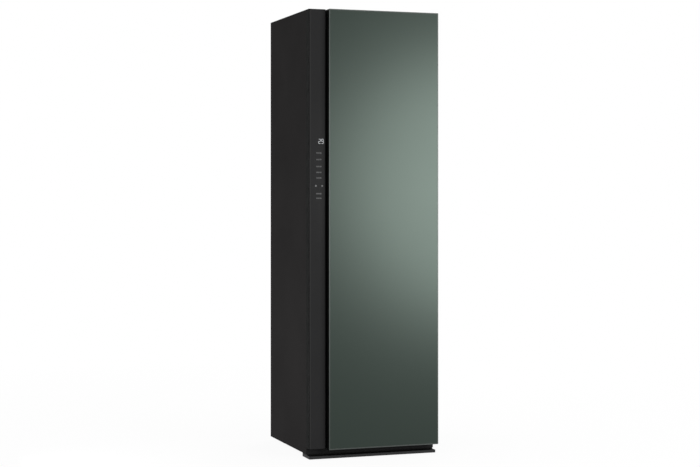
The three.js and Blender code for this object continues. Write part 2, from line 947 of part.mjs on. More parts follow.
function tankTub(spanX) {
  const middle = (spanX[0] + spanX[1]) / 2;
  const outer = upright(rectangle(spanX, tankSpanY, tankRadius), [tubBottom, tubTop]);
  const gripZ = [tubTop - tankWall - gripHeight, tubTop - tankWall];
  const gripSpanX = around(middle, gripWidth);
  const grip = block(gripSpanX, [tankFront - overrun, tankFront + gripDepth], gripZ);
  const housing = block(
    grown(gripSpanX, tankWall),
    [tankFront, tankFront + gripDepth + tankWall],
    [gripZ[0] - tankWall, tubTop + overrun],
  );
  const hollow = cut(
    upright(rectangle(grown(spanX, -tankWall), grown(tankSpanY, -tankWall), tankRadius - tankWall), [
      tubBottom + tankWall,
      tubTop + overrun,
    ]),
    housing,
  );
  return cut(outer, hollow, grip);
}

function tankLid(spanX) {
  const outline = rectangle(spanX, tankSpanY, tankRadius);
  const hole = new THREE.Path();
  const holeY = tankSpanY[1] - tankWall * 2 - fillRadius * 2;
  hole.absarc((spanX[0] + spanX[1]) / 2, holeY, fillRadius, 0, Math.PI * 2);
  outline.holes.push(hole);
  return upright(outline, [lidTop - lidThickness, lidTop], discSteps / 2);
}

for (const [name, pocket] of Object.entries(bayPockets)) {
  const spanX = grown(pocket, -slideGap);
  piece(cabinet, name, tankTub(spanX), tankClear);
  piece(cabinet, `${name}_lid`, tankLid(spanX), greyPlastic);
}

// Control column: a housing open to the front, closed by the touch panel
const columnSpanX = [-halfWidth, columnRight];
const columnSpanZ = [columnBottomHeight, cabinetHeight];
const columnPanelBack = columnFace + columnPanelThickness;
const housingFront = columnPanelBack + seatGap;

function columnHousing() {
  const outer = block(columnSpanX, [housingFront, bodyFront - seatGap], columnSpanZ);
  const hollow = block(
    grown(columnSpanX, -columnWall),
    [housingFront - overrun, bodyFront - seatGap - columnWall],
    grown(columnSpanZ, -columnWall),
  );
  return cut(outer, hollow);
}

function columnPanel() {
  const [left, right] = columnSpanX;
  const shape = new THREE.Shape();
  shape.moveTo(left, columnPanelBack);
  shape.absarc(
    left + columnEdgeRadius,
    columnFace + columnEdgeRadius,
    columnEdgeRadius,
    Math.PI,
    Math.PI * 1.5,
    false,
  );
  shape.absarc(
    right - columnEdgeRadius,
    columnFace + columnEdgeRadius,
    columnEdgeRadius,
    Math.PI * 1.5,
    Math.PI * 2,
    false,
  );
  shape.lineTo(right, columnPanelBack);
  return upright(shape, columnSpanZ);
}

piece(cabinet, "column_housing", columnHousing(), blackPlastic);
piece(cabinet, "column_panel", columnPanel(), columnGloss);

// Display module behind the column's panel: a screen and touch pads on one board
const displayTop = displayHeight + displayBoxHeight / 2;
const displayBottom = displayHeight - displayBoxHeight / 2;
const columnMiddle = (columnSpanX[0] + columnSpanX[1]) / 2;

function displayModule() {
  const boardFront = housingFront + displayBoxDepth - boardThickness;
  const screen = block(
    around(columnMiddle, displayBoxWidth),
    [housingFront, housingFront + displayBoxDepth],
    [displayBottom, displayTop],
  );
  const touchPads = block(
    around(columnMiddle, touchPadWidth),
    [housingFront, housingFront + displayBoxDepth],
    [displayBottom - touchPadDrop - touchPadHeight, displayBottom - touchPadDrop],
  );
  const board = block(
    around(columnMiddle, displayBoxWidth + 2 * columnWall),
    [boardFront, boardFront + boardThickness],
    [displayBottom - touchPadDrop - touchPadHeight - columnWall, displayTop + columnWall],
  );
  return join(screen, touchPads, board);
}

piece(cabinet, "display_module", displayModule(), boardGreen);

// Door planes
const doorSpanX = [doorLeft, halfWidth];
const doorSpanZ = [doorBottomHeight, cabinetHeight];
const trimBack = frontFace + glassThickness + seatGap + trimShelfThickness;
const shellFront = trimBack + seatGap;
const doorRear = bodyFront - doorRearGap;
const doorLinerFront = doorRear - doorLinerWall;
const shellRear = doorLinerFront - seatGap;
const shellRight = halfWidth - doorSideInset;
const channelRight = doorLeft + gripChannelWidth;
const topCapSpanZ = [cabinetHeight - capInset - capHeight, cabinetHeight - capInset];
const bottomCapSpanZ = [doorBottomHeight + capInset, doorBottomHeight + capInset + capHeight];
const betweenCaps = [bottomCapSpanZ[1] + seatGap, topCapSpanZ[0] - seatGap];

// Edge trim: a frame with a lip round the glass and a shelf behind it
function doorTrim() {
  const lip = ring(
    facing,
    rectangle(doorSpanX, doorSpanZ, trimRadius),
    rectangle(grown(doorSpanX, -trimWidth), grown(doorSpanZ, -trimWidth)),
    [frontFace, trimBack],
  );
  const shelfEdge = trimWidth / 2;
  const shelf = ring(
    facing,
    rectangle(grown(doorSpanX, -shelfEdge), grown(doorSpanZ, -shelfEdge)),
    rectangle(
      grown(doorSpanX, -trimWidth - trimShelfWidth),
      grown(doorSpanZ, -trimWidth - trimShelfWidth),
    ),
    [trimBack - trimShelfThickness, trimBack],
  );
  return join(lip, shelf);
}

function doorGlass() {
  return facing(
    rectangle(grown(doorSpanX, -trimWidth - seatGap), grown(doorSpanZ, -trimWidth - seatGap)),
    [frontFace, frontFace + glassThickness],
  );
}

piece(door, "door_trim", doorTrim(), edgeMetal);
piece(door, "door_glass", doorGlass(), greenGlass);

// Door shell: a folded sheet behind the glass, with returns that carry the liner
function doorShell() {
  const left = channelRight + seatGap;
  return upright(polygon([
    [left, shellFront],
    [shellRight, shellFront],
    [shellRight, shellRear],
    [shellRight - doorReturn, shellRear],
    [shellRight - doorReturn, shellRear - doorSheet],
    [shellRight - doorSheet, shellRear - doorSheet],
    [shellRight - doorSheet, shellFront + doorSheet],
    [left + doorSheet, shellFront + doorSheet],
    [left + doorSheet, shellRear - doorSheet],
    [left + doorReturn, shellRear - doorSheet],
    [left + doorReturn, shellRear],
    [left, shellRear],
  ]), betweenCaps);
}

piece(door, "door_shell", doorShell(), steelPaint);

// Grip channel: the recess behind the trim has an inner wall and a hollow rail at its rear
const gripRear = shellFront + gripLip + gripMouth;

function gripWall() {
  const spanX = [doorLeft + gripRecessDepth, channelRight];
  return upright(rectangle(spanX, [shellFront, gripRear - seatGap], gripEdge), betweenCaps);
}

function gripChannel() {
  const outer = rectangle([doorLeft, channelRight], [gripRear, shellRear], gripEdge);
  const hollow = rectangle(
    [doorLeft + gripBaseWall, channelRight - gripBaseWall],
    [gripRear + gripBaseWall, shellRear - gripBaseWall],
  );
  return ring(upright, outer, hollow, betweenCaps);
}

piece(door, "grip_wall", gripWall(), blackPlastic);
piece(door, "grip_channel", gripChannel(), blackPlastic);

// Hinge pin line, leaves above and below the door, and the notches that clear them
const pinX = halfWidth - pinInsetX;
const pinY = doorRear - pinInsetY;
const upperLeafBottom = topCapSpanZ[1] - leafSetback;
const lowerLeafTop = bottomCapSpanZ[0] + leafSetback;

function hingeBracket(leafSpanZ, pinSpanZ, tabSpanZ) {
  const rear = bodyFront - seatGap;
  const nose = new THREE.Shape();
  nose.moveTo(pinX + leafRadius, rear);
  nose.lineTo(pinX - leafRadius, rear);
  nose.absarc(pinX, pinY, leafRadius, Math.PI, Math.PI * 2, false);
  return join(
    upright(nose, leafSpanZ, discSteps / 2),
    block([pinX - leafRadius / 2, halfWidth - hingeTabInset], [rear - hingeTabThickness, rear], tabSpanZ),
    rod(pinRadius, pinSpanZ, [pinX, pinY, 0]),
  );
}

piece(cabinet, "upper_hinge_bracket", hingeBracket(
  [upperLeafBottom, upperLeafBottom + leafThickness],
  [upperLeafBottom - pinLength, upperLeafBottom + leafThickness],
  [upperLeafBottom, upperLeafBottom + hingeTabHeight],
), zincSteel);
piece(cabinet, "lower_hinge_bracket", hingeBracket(
  [lowerLeafTop - leafThickness, lowerLeafTop],
  [lowerLeafTop - leafThickness, lowerLeafTop + pinLength],
  [lowerLeafTop - hingeTabHeight, lowerLeafTop],
), zincSteel);

// Door end caps: hollow mouldings with a solid corner for the pin and a notch for the leaf
function doorCap(spanZ, leafFace, inward) {
  const outer = upright(rectangle([doorLeft, shellRight], [shellFront, shellRear]), spanZ);
  const face = leafFace - inward * seatGap * 2;
  const far = inward > 0 ? spanZ[1] + overrun : spanZ[0] - overrun;
  const notch = block(
    [pinX - leafRadius - seatGap * 2, shellRight + overrun],
    [pinY - leafRadius - notchClearance, shellRear + overrun],
    [Math.min(face, far), Math.max(face, far)],
  );
  const open = inward > 0 ? spanZ[0] - overrun : spanZ[1] + overrun;
  const closed = inward > 0 ? spanZ[1] - capWall : spanZ[0] + capWall;
  const pocket = block(
    [doorLeft + capWall, shellRight - hingeZone],
    grown([shellFront, shellRear], -capWall),
    [Math.min(open, closed), Math.max(open, closed)],
  );
  const bore = rod(pinRadius + runningGap, grown(spanZ, overrun), [pinX, pinY, 0]);
  return cut(outer, notch, pocket, bore);
}

piece(door, "door_top_cap", doorCap(topCapSpanZ, upperLeafBottom, 1), blackPlastic);
piece(door, "door_bottom_cap", doorCap(bottomCapSpanZ, lowerLeafTop, -1), blackPlastic);

// Door liner: a sheet with a raised ridge that stands inside the gasket
const linerMargin = linerSideInset + trimWidth;
const ridgeSpanX = [mouthLeft, mouthRight - linerSideInset];
const ridgeSpanZ = [bayFloor, chamberCeiling];

function doorLiner() {
  const sheetSpanX = [doorLeft + linerSideInset, shellRight - linerSideInset];
  const bottom = lowerLeafTop + leafThickness;
  const top = upperLeafBottom - leafThickness;
  const plate = facing(rectangle(sheetSpanX, [bottom, top], linerMargin), [doorLinerFront, doorRear]);
  const ridge = ring(
    facing,
    rectangle(ridgeSpanX, ridgeSpanZ, mouthRadius),
    rectangle(grown(ridgeSpanX, -dikeWidth), grown(ridgeSpanZ, -dikeWidth)),
    [doorRear - doorLinerWall / 2, doorRear + dikeHeight],
  );
  return join(plate, ridge);
}

// Gasket: a soft ring round the ridge, lying on the front frame when the door is closed
function doorGasket() {
  const innerX = grown(ridgeSpanX, gasketOffset);
  const innerZ = grown(ridgeSpanZ, gasketOffset);
  return ring(
    facing,
    rectangle(grown(innerX, gasketWidth), grown(innerZ, gasketWidth), mouthRadius),
    rectangle(innerX, innerZ),
    [doorRear + seatGap, frameFront - seatGap],
  );
}

piece(door, "door_liner", doorLiner(), paleLiner);
piece(door, "door_gasket", doorGasket(), rubberBlack);

// Trouser press: board with keeper, hinge knuckles and fixed pin, pad, panel and latch
const pressSpanX = [mouthLeft + pressSideGap, mouthRight - pressSideGap];
const pressSpanZ = [pressBottom, pressBottom + pressHeight];
const boardFront = doorRear + seatGap;
const boardRear = boardFront + pressBoardThickness;
const padSpanY = [boardRear + seatGap, boardRear + seatGap + pressPadThickness];
const panelFront = padSpanY[1] + seatGap;
const panelRear = panelFront + pressPanelThickness;
const pressAxisX = pressSpanX[1] + knuckleRadius + knuckleSideGap;
const pressAxisY = (boardRear + panelFront) / 2;
const latchX = pressSpanX[0] + latchInset;
const latchFront = panelRear + seatGap;
const latchRear = latchFront + latchThickness;
const fingerTip = latchX - latchFingerLength;
const press = new THREE.Group();
door.add(press);

function knuckles(firstIndex, plateSpanY) {
  const pitch = pressHeight / knuckleCount;
  const barrels = [];
  for (let index = firstIndex; index < knuckleCount; index += 2) {
    const spanZ = grown([pressBottom + index * pitch, pressBottom + (index + 1) * pitch], -seatGap);
    barrels.push(rod(knuckleRadius, spanZ, [pressAxisX, pressAxisY, 0], "z", discSteps * 2));
    barrels.push(block([pressSpanX[1] - pressRadius * 2, pressAxisX], plateSpanY, spanZ));
  }
  return barrels;
}

function pressBoard() {
  const leafSpanY = [pressAxisY - knuckleRadius, boardRear];
  const lipFront = latchRear + seatGap;
  const postX = [fingerTip - keeperWall * 2, fingerTip - keeperWall];
  const keeperZ = around(latchHeight, keeperHeight);
  const keeper = join(
    block([postX[0], pressSpanX[0] + pressRadius], [boardFront, boardFront + keeperWall], keeperZ),
    block(postX, [boardFront, lipFront + keeperLip], keeperZ),
    block([postX[0], pressSpanX[0] - keeperOverlap], [lipFront, lipFront + keeperLip], keeperZ),
  );
  const plate = facing(rectangle(pressSpanX, pressSpanZ, pressRadius), [boardFront, boardRear]);
  return join(plate, keeper, ...knuckles(0, leafSpanY), pressPin());
}

function pressPad() {
  return facing(
    rectangle(grown(pressSpanX, -pressPadInset), grown(pressSpanZ, -pressPadInset), pressRadius),
    padSpanY,
  );
}

function pressPanel() {
  const leafSpanY = [panelFront, pressAxisY + knuckleRadius];
  const plate = facing(rectangle(pressSpanX, pressSpanZ, pressRadius), [panelFront, panelRear]);
  const hollow = facing(
    rectangle(
      grown(pressSpanX, -latchInset - latchRadius),
      grown(pressSpanZ, -latchInset - latchRadius),
    ),
    [panelFront + pressPanelWall, panelRear + overrun],
  );
  const slots = [];
  const rowPitch = pressHeight / (slotRows + 1);
  const columnPitch = (pressSpanX[1] - pressSpanX[0]) / (slotColumns + 1);
  for (let row = 1; row <= slotRows; row += 1) {
    for (let column = 1; column <= slotColumns; column += 1) {
      slots.push(facing(rectangle(
        around(pressSpanX[0] + column * columnPitch, columnPitch - slotSpacing),
        around(pressBottom + row * rowPitch, slotHeight),
      ), grown([panelFront, panelRear], overrun)));
    }
  }
  const latchHole = rod(
    latchStemRadius + runningGap,
    grown([panelFront, panelRear], overrun),
    [latchX, 0, latchHeight],
    "y",
  );
  const pinBore = rod(pressPinRadius + runningGap, grown(pressSpanZ, overrun), [pressAxisX, pressAxisY, 0]);
  return cut(join(plate, ...knuckles(1, leafSpanY)), hollow, ...slots, latchHole, pinBore);
}

function pressPin() {
  return turned([
    [0, pressSpanZ[0] - pinHeadHeight],
    [knuckleRadius, pressSpanZ[0] - pinHeadHeight],
    [knuckleRadius, pressSpanZ[0]],
    [pressPinRadius, pressSpanZ[0]],
    [pressPinRadius, pressSpanZ[1] + pinHeadHeight],
    [0, pressSpanZ[1] + pinHeadHeight],
  ], [pressAxisX, pressAxisY, 0], "z", discSteps * 2);
}

function pressLatch() {
  const plateY = [latchFront, latchRear];
  return join(
    rod(latchRadius, plateY, [latchX, 0, latchHeight], "y"),
    rod(latchStemRadius, [panelFront, latchRear], [latchX, 0, latchHeight], "y"),
    facing(rectangle(
      around(latchX, latchFingerWidth),
      [latchHeight - latchFingerLength, latchHeight],
      latchFingerWidth * cornerShare,
    ), plateY),
    facing(rectangle(
      around(latchX, latchFingerWidth),
      [latchHeight, latchHeight + latchTabLength],
      latchFingerWidth * cornerShare,
    ), plateY),
  );
}

piece(door, "press_board", pressBoard(), greyPlastic);
piece(door, "press_pad", pressPad(), padCloth);
piece(press, "press_panel", pressPanel(), greyPlastic);
piece(press, "press_latch", pressLatch(), blackPlastic);

// Moving hanger: a notched rail on two stems under a carriage, and the guide that it runs in
const railTop = chamberCeiling - railDrop;
const guideBottom = linerTop + seatGap;
const guideFloor = guideBottom + guideWall;
const carriageBottom = guideFloor + seatGap;
const carriageTop = carriageBottom + carriageThickness;
const guideTop = carriageTop + runningGap + guideWall;
const guideHalfWidth = carriageWidth / 2 + runningGap + guideWall;
const guideLength = carriageLength + 2 * (hangerTravel + slideGap);

function hangerRail() {
  const bar = crossing(rectangle(
    around(chamberMiddleY, railWidth),
    [railTop - railHeight, railTop],
    railHeight / 2.5,
  ), around(hangerX, railLength));
  const stems = stemPlaces.map((x) => block(
    around(x, stemWidth),
    around(chamberMiddleY, stemThickness),
    [railTop - railHeight / 2, carriageTop],
  ));
  const carriagePlan = rectangle(
    around(hangerX, carriageLength),
    around(chamberMiddleY, carriageWidth),
    railHeight * cornerShare,
  );
  const carriage = upright(carriagePlan, [carriageBottom, carriageTop]);
  const notchSpanY = grown(around(chamberMiddleY, railWidth), overrun);
  const pitch = (stemSpacing - stemWidth) / notchCount;
  const notches = [];
  for (let index = 0; index < notchCount; index += 1) {
    const x = hangerX - (stemSpacing - stemWidth) / 2 + pitch * (index + 0.5);
    const z = railTop + notchRadius - notchDepth;
    notches.push(rod(notchRadius, notchSpanY, [x, 0, z], "y", discSteps));
  }
  return cut(join(bar, carriage, ...stems), ...notches);
}

function hangerGuide() {
  const outer = block(
    around(hangerX, guideLength),
    around(chamberMiddleY, 2 * guideHalfWidth),
    [guideBottom, guideTop],
  );
  const channel = block(
    around(hangerX, guideLength + overrun),
    around(chamberMiddleY, carriageWidth + 2 * runningGap),
    [guideFloor, guideTop - guideWall],
  );
  const slot = block(
    around(hangerX, guideLength + overrun),
    around(chamberMiddleY, carriageWidth - 2 * guideLip),
    [guideTop - guideWall - overrun, guideTop + overrun],
  );
  return cut(outer, channel, slot, ...stemSlots(grown([guideBottom, guideFloor], overrun / 2)));
}

piece(cabinet, "hanger_rail", hangerRail(), aluminium);
piece(cabinet, "hanger_guide", hangerGuide(), zincSteel);

// Hanger gear motor beside the guide: a closed gearbox with the motor on its back
function hangerDrive() {
  const front = chamberMiddleY + guideHalfWidth + seatGap;
  const back = front + gearboxDepth;
  const gearbox = upright(
    rectangle(around(hangerX, gearboxWidth), [front, back], gearboxRadius),
    [guideBottom, guideBottom + gearboxHeight],
  );
  const motor = turned([
    [0, back - gearboxRadius],
    [motorRadius, back - gearboxRadius],
    [motorRadius, back + motorLength],
    [motorRadius / 2, back + motorLength],
    [motorRadius / 2, back + motorLength + motorRadius * cornerShare],
    [0, back + motorLength + motorRadius * cornerShare],
  ], [hangerX, 0, guideBottom + gearboxHeight / 2], "y");
  return join(gearbox, motor);
}

piece(cabinet, "hanger_drive", hangerDrive(), castBlack);

// Control box with cooling ribs, on the chamber's ceiling
function controlBox() {
  const left = -chamberHalfWidth;
  const spanX = [left, left + controlBoxWidth];
  const back = chamberBack - controlBoxInset;
  const spanY = [back - controlBoxDepth, back];
  const top = guideBottom + controlBoxHeight;
  const pitch = controlBoxWidth / controlBoxRibs;
  const body = upright(rectangle(spanX, spanY, controlBoxRadius), [guideBottom, top]);
  const grooves = [];
  for (let index = 0; index < controlBoxRibs; index += 1) {
    const middle = spanX[0] + pitch * (index + 0.5);
    grooves.push(block(
      around(middle, controlBoxRib),
      grown(spanY, -controlBoxInset),
      [top - controlBoxRib, top + overrun],
    ));
  }
  return cut(body, ...grooves);
}

piece(cabinet, "control_box", controlBox(), blackPlastic);

// Air duct under the chamber floor, open over the filter and towards the fan
const ductSpanX = [-ductHalfWidth, ductHalfWidth];
const ductSpanZ = [ductTop - ductHeight, ductTop];

function airDuct() {
  const outer = block(ductSpanX, [ductFront, ductRear], ductSpanZ);
  const hollow = block(
    grown(ductSpanX, -ductWall),
    [ductFront + ductWall, ductRear + overrun],
    grown(ductSpanZ, -ductWall),
  );
  const well = block(
    grown(filterSpanX, runningGap),
    grown(filterSpanY, runningGap),
    grown([ductTop - ductWall, ductTop], overrun),
  );
  return cut(outer, hollow, well);
}

piece(cabinet, "air_duct", airDuct(), greyPlastic);

// Heat exchangers: a row of fins on both sides of a tube row
function finnedCoil(front) {
  const spanX = grown(ductSpanX, -ductWall - runningGap);
  const middle = front + coilDepth / 2;
  const pitch = (spanX[1] - spanX[0] - finThickness) / (finCount - 1);
  const frontEdge = [];
  const rearEdge = [];
  for (let index = 0; index < finCount; index += 1) {
    const left = spanX[0] + pitch * index;
    const right = left + finThickness;
    frontEdge.push(
      [left, middle - coilSpine / 2],
      [left, front],
      [right, front],
      [right, middle - coilSpine / 2],
    );
    rearEdge.push(
      [left, middle + coilSpine / 2],
      [left, front + coilDepth],
      [right, front + coilDepth],
      [right, middle + coilSpine / 2],
    );
  }
  const outline = polygon([...frontEdge, ...rearEdge.reverse()]);
  const inside = grown(ductSpanZ, -ductWall);
  return upright(outline, [inside[0] + seatGap, inside[1] - slideGap]);
}

const condenserFront = ductRear - coilRearGap - coilDepth;
const evaporatorFront = condenserFront - coilSpacing - coilDepth;
piece(cabinet, "evaporator", finnedCoil(evaporatorFront), aluminium);
piece(cabinet, "condenser", finnedCoil(condenserFront), aluminium);

// Fan scroll: a spiral that widens from the tongue to the upward mouth
function scrollOutline(inset, mouthTop) {
  const start = scrollStartRadius - inset;
  const end = scrollEndRadius - inset;
  const steps = turnSteps * 2;
  const points = [];
  for (let index = 0; index <= steps; index += 1) {
    const share = index / steps;
    const angle = tongueAngle + (Math.PI * 2 - tongueAngle) * share;
    const radius = start + (end - start) * share;
    points.push([fanX + radius * Math.cos(angle), fanZ + radius * Math.sin(angle)]);
  }
  const inner = scrollStartRadius * Math.cos(tongueAngle) + inset;
  points.push([fanX + end, mouthTop]);
  points.push([fanX + inner, mouthTop]);
  if (inset > 0) {
    points.push([fanX + inner, fanZ + start * Math.sin(tongueAngle)]);
  }
  return polygon(points);
}

function fanHousing() {
  const shell = facing(scrollOutline(0, ductTop), fanSpanY);
  const hollow = facing(scrollOutline(scrollWall, ductTop + overrun), grown(fanSpanY, -scrollWall));
  const inletSpanY = [fanSpanY[0] - overrun, fanSpanY[0] + scrollWall * 2];
  const inlet = rod(fanInletRadius, inletSpanY, [fanX, 0, fanZ], "y");
  const rearSpanY = grown(around(fanSpanY[1], scrollWall), overrun);
  const shaftHole = rod(shaftRadius * 2, rearSpanY, [fanX, 0, fanZ], "y");
  return cut(shell, hollow, inlet, shaftHole);
}

piece(cabinet, "fan_housing", fanHousing(), greyPlastic);

// Fan wheel: forward-curved blades between a back plate and a front ring, on a hub
function bladeOutline(turn) {
  const steps = cornerSteps;
  const forward = [];
  const back = [];
  for (let index = 0; index <= steps; index += 1) {
    const share = index / steps;
    const radius = wheelInnerRadius + (wheelRadius - wheelInnerRadius) * share;
    const angle = turn + bladeSweepAngle * share * share;
    const thick = bladeThickness / radius;
    forward.push([radius * Math.cos(angle), radius * Math.sin(angle)]);
    back.push([radius * Math.cos(angle + thick), radius * Math.sin(angle + thick)]);
  }
  return polygon([...forward, ...back.reverse()]);
}

function fanWheel() {
  const solids = [
    rod(wheelRadius, [0, wheelPlate], [0, 0, 0], "z", wheelSteps),
    rod(hubRadius, [0, hubLength], [0, 0, 0]),
    turned([
      [wheelInnerRadius, wheelWidth - wheelPlate],
      [wheelRadius, wheelWidth - wheelPlate],
      [wheelRadius, wheelWidth],
      [wheelInnerRadius, wheelWidth],
      [wheelInnerRadius, wheelWidth - wheelPlate],
    ], [0, 0, 0], "z", wheelSteps),
  ];
  for (let index = 0; index < bladeCount; index += 1) {
    const turn = index / bladeCount * Math.PI * 2;
    solids.push(upright(bladeOutline(turn), [wheelPlate / 2, wheelWidth - wheelPlate / 2]));
  }
  return cut(join(...solids), rod(shaftRadius + seatGap, grown([0, hubLength], overrun), [0, 0, 0]));
}

const wheel = piece(cabinet, "fan_wheel", fanWheel(), greyPlastic);
const wheelRear = fanSpanY[0] + scrollWall + wheelFrontGap + wheelWidth;
wheel.rotation.x = Math.PI / 2;
wheel.position.set(fanX, wheelRear, fanZ);

// Fan motor on the back of the scroll, its shaft in the wheel's hub
const fanMotor = turned([
  [0, wheelRear - hubLength],
  [shaftRadius, wheelRear - hubLength],
  [shaftRadius, fanSpanY[1] + seatGap],
  [fanMotorRadius, fanSpanY[1] + seatGap],
  [fanMotorRadius, fanSpanY[1] + fanMotorLength * fanMotorWallShare],
  [fanMotorRadius * fanMotorCapShare, fanSpanY[1] + fanMotorLength],
  [0, fanSpanY[1] + fanMotorLength],
], [fanX, 0, fanZ], "y");
piece(cabinet, "fan_motor", fanMotor, zincSteel);

// Compressor: a domed can on a plate with four grommets
function compressor() {
  const middleX = innerHalfWidth - baseSheet - compressorSideGap - compressorPlate / 2;
  const middleY = behindFrame + compressorSetback;
  const plateBottom = floorSeat + grommetHeight;
  const canBottom = plateBottom + compressorPlateThickness / 2;
  const canTop = canBottom + compressorHeight;
  const dome = compressorRadius * cornerShare;
  const can = turned([
    [0, canBottom],
    [compressorRadius, canBottom],
    [compressorRadius, canTop - dome],
    [compressorRadius - dome * domeRoundShare, canTop - dome * domeRoundShare],
    [compressorRadius - dome, canTop],
    [0, canTop],
  ], [middleX, middleY, 0]);
  const platePlan = rectangle(
    around(middleX, compressorPlate),
    around(middleY, compressorPlate),
    grommetRadius * grommetReachShare,
  );
  const plate = upright(platePlan, [plateBottom, plateBottom + compressorPlateThickness]);
  const reach = compressorPlate / 2 - grommetRadius * grommetReachShare;
  const corners = [[-reach, -reach], [reach, -reach], [reach, reach], [-reach, reach]];
  const grommets = corners.map(([x, y]) => rod(
    grommetRadius,
    [floorSeat, plateBottom + compressorPlateThickness],
    [middleX + x, middleY + y, 0],
    "z",
    discSteps,
  ));
  return join(can, plate, ...grommets);
}

piece(cabinet, "compressor", compressor(), castBlack);

// Steam generator: a boiler with domed ends on two saddles, an outlet stub and the pipe to the nozzle
const steamX = -innerHalfWidth + baseSheet + steamSideGap + steamRadius;
const steamFront = behindFrame + steamSetback;
const steamZ = floorSeat + steamRise + steamRadius;
const stubY = steamFront + steamStubSetback;
const stubTop = steamZ + steamRadius + steamStubHeight;

function steamPipe() {
  const low = stubTop - overrun;
  const high = linerBottom - overrun - seatGap;
  const rise = high - low;
  const route = new THREE.CubicBezierCurve3(
    new THREE.Vector3(steamX, stubY, low),
    new THREE.Vector3(steamX, stubY, low + rise / 2),
    new THREE.Vector3(nozzleX, nozzleY, high - rise / 2),
    new THREE.Vector3(nozzleX, nozzleY, high),
  );
  const section = new THREE.Shape();
  section.absarc(0, 0, steamPipeRadius, 0, Math.PI * 2, false);
  const bore = new THREE.Path();
  bore.absarc(0, 0, steamPipeBore, 0, Math.PI * 2, true);
  section.holes.push(bore);
  const geometry = new THREE.ExtrudeGeometry(section, {
    steps: pipeSteps,
    extrudePath: route,
    curveSegments: discSteps / 2,
    bevelEnabled: false,
  });
  return toSolid(geometry);
}

function steamGenerator() {
  const back = steamFront + steamLength;
  const dome = steamRadius * steamDomeShare;
  const boiler = turned([
    [0, steamFront],
    [steamRadius / 2, steamFront + dome * cornerShare],
    [steamRadius, steamFront + dome],
    [steamRadius, back - dome],
    [steamRadius / 2, back - dome * cornerShare],
    [0, back],
  ], [steamX, 0, steamZ], "y");
  const saddles = [steamFront + saddleInset, back - saddleInset].map((middle) => facing(polygon([
    [steamX - steamRadius, floorSeat],
    [steamX + steamRadius, floorSeat],
    [steamX + steamRadius * saddleReachShare, steamZ - steamRadius * saddleRiseShare],
    [steamX - steamRadius * saddleReachShare, steamZ - steamRadius * saddleRiseShare],
  ]), around(middle, saddleWidth)));
  const stub = rod(steamStubRadius, [steamZ, stubTop], [steamX, stubY, 0]);
  return join(boiler, ...saddles, stub, steamPipe());
}

piece(cabinet, "steam_generator", steamGenerator(), zincSteel);

// Pumps: a can lying on a foot, with a port on top
function pump() {
  const middleZ = floorSeat + pumpRise + pumpRadius;
  const can = turned([
    [0, 0],
    [pumpRadius, 0],
    [pumpRadius, pumpLength * pumpWallShare],
    [pumpRadius * pumpNeckShare, pumpLength * pumpStepShare],
    [pumpRadius * pumpNeckShare, pumpLength],
    [0, pumpLength],
  ], [0, 0, middleZ], "y");
  const footSpanY = pumpFootShares.map((share) => pumpLength * share);
  const footBlock = block(around(0, pumpFoot), footSpanY, [floorSeat, middleZ]);
  const portSpanZ = [middleZ, middleZ + pumpRadius + pumpPortHeight];
  const port = rod(pumpPortRadius, portSpanZ, [0, pumpLength * pumpPortShare, 0], "z", discSteps);
  return join(can, footBlock, port);
}

for (const [name, side] of [["feed_pump", -1], ["drain_pump", 1]]) {
  const mesh = piece(cabinet, name, pump(), blackPlastic);
  mesh.position.set(side * pumpSpacing / 2, bayBack + pumpSetback, 0);
}

// Cord gland in the back panel
const cordGland = turned([
  [glandBore, backPanelRear - sheet - seatGap - glandNutLength],
  [glandNutRadius, backPanelRear - sheet - seatGap - glandNutLength],
  [glandNutRadius, backPanelRear - sheet - seatGap],
  [glandRadius, backPanelRear - sheet - seatGap],
  [glandRadius, bodyBack],
  [glandBore, bodyBack],
  [glandBore, backPanelRear - sheet - seatGap - glandNutLength],
], [glandX, 0, glandHeight], "y");
piece(cabinet, "cord_gland", cordGland, blackPlastic);

export default cabinet;
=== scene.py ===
# %% [markdown]
# # Dressing a clothes care steam cabinet
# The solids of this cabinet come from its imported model. This lesson gives each of them a
# finish, adds the small pieces that solids leave out, and lights it as in a studio.
# The cabinet stands on the floor at height zero, with its front towards -Y.

import math

import bpy
import numpy as np
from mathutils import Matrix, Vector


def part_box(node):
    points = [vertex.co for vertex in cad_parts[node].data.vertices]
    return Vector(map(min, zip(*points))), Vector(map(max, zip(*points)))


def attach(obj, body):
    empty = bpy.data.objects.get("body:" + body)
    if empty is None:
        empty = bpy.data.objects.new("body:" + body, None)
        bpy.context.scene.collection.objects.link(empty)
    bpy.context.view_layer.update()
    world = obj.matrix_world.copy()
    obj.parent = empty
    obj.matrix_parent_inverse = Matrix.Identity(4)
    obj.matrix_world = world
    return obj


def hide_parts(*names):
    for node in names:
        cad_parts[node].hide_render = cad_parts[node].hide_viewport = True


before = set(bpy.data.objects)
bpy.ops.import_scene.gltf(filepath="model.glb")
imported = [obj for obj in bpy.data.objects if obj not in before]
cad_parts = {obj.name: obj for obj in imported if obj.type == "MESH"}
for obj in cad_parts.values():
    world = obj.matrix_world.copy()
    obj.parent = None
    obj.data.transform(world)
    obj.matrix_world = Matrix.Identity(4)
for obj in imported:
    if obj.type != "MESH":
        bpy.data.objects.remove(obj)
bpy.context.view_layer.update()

# %% [markdown]
# ## Camera
# The picture was taken with the camera level, so all upright edges stay parallel. Tilting a
# camera would make them lean. A level camera with a small shift of its lens frames the
# whole cabinet and keeps its sides upright, so that is what stands here.

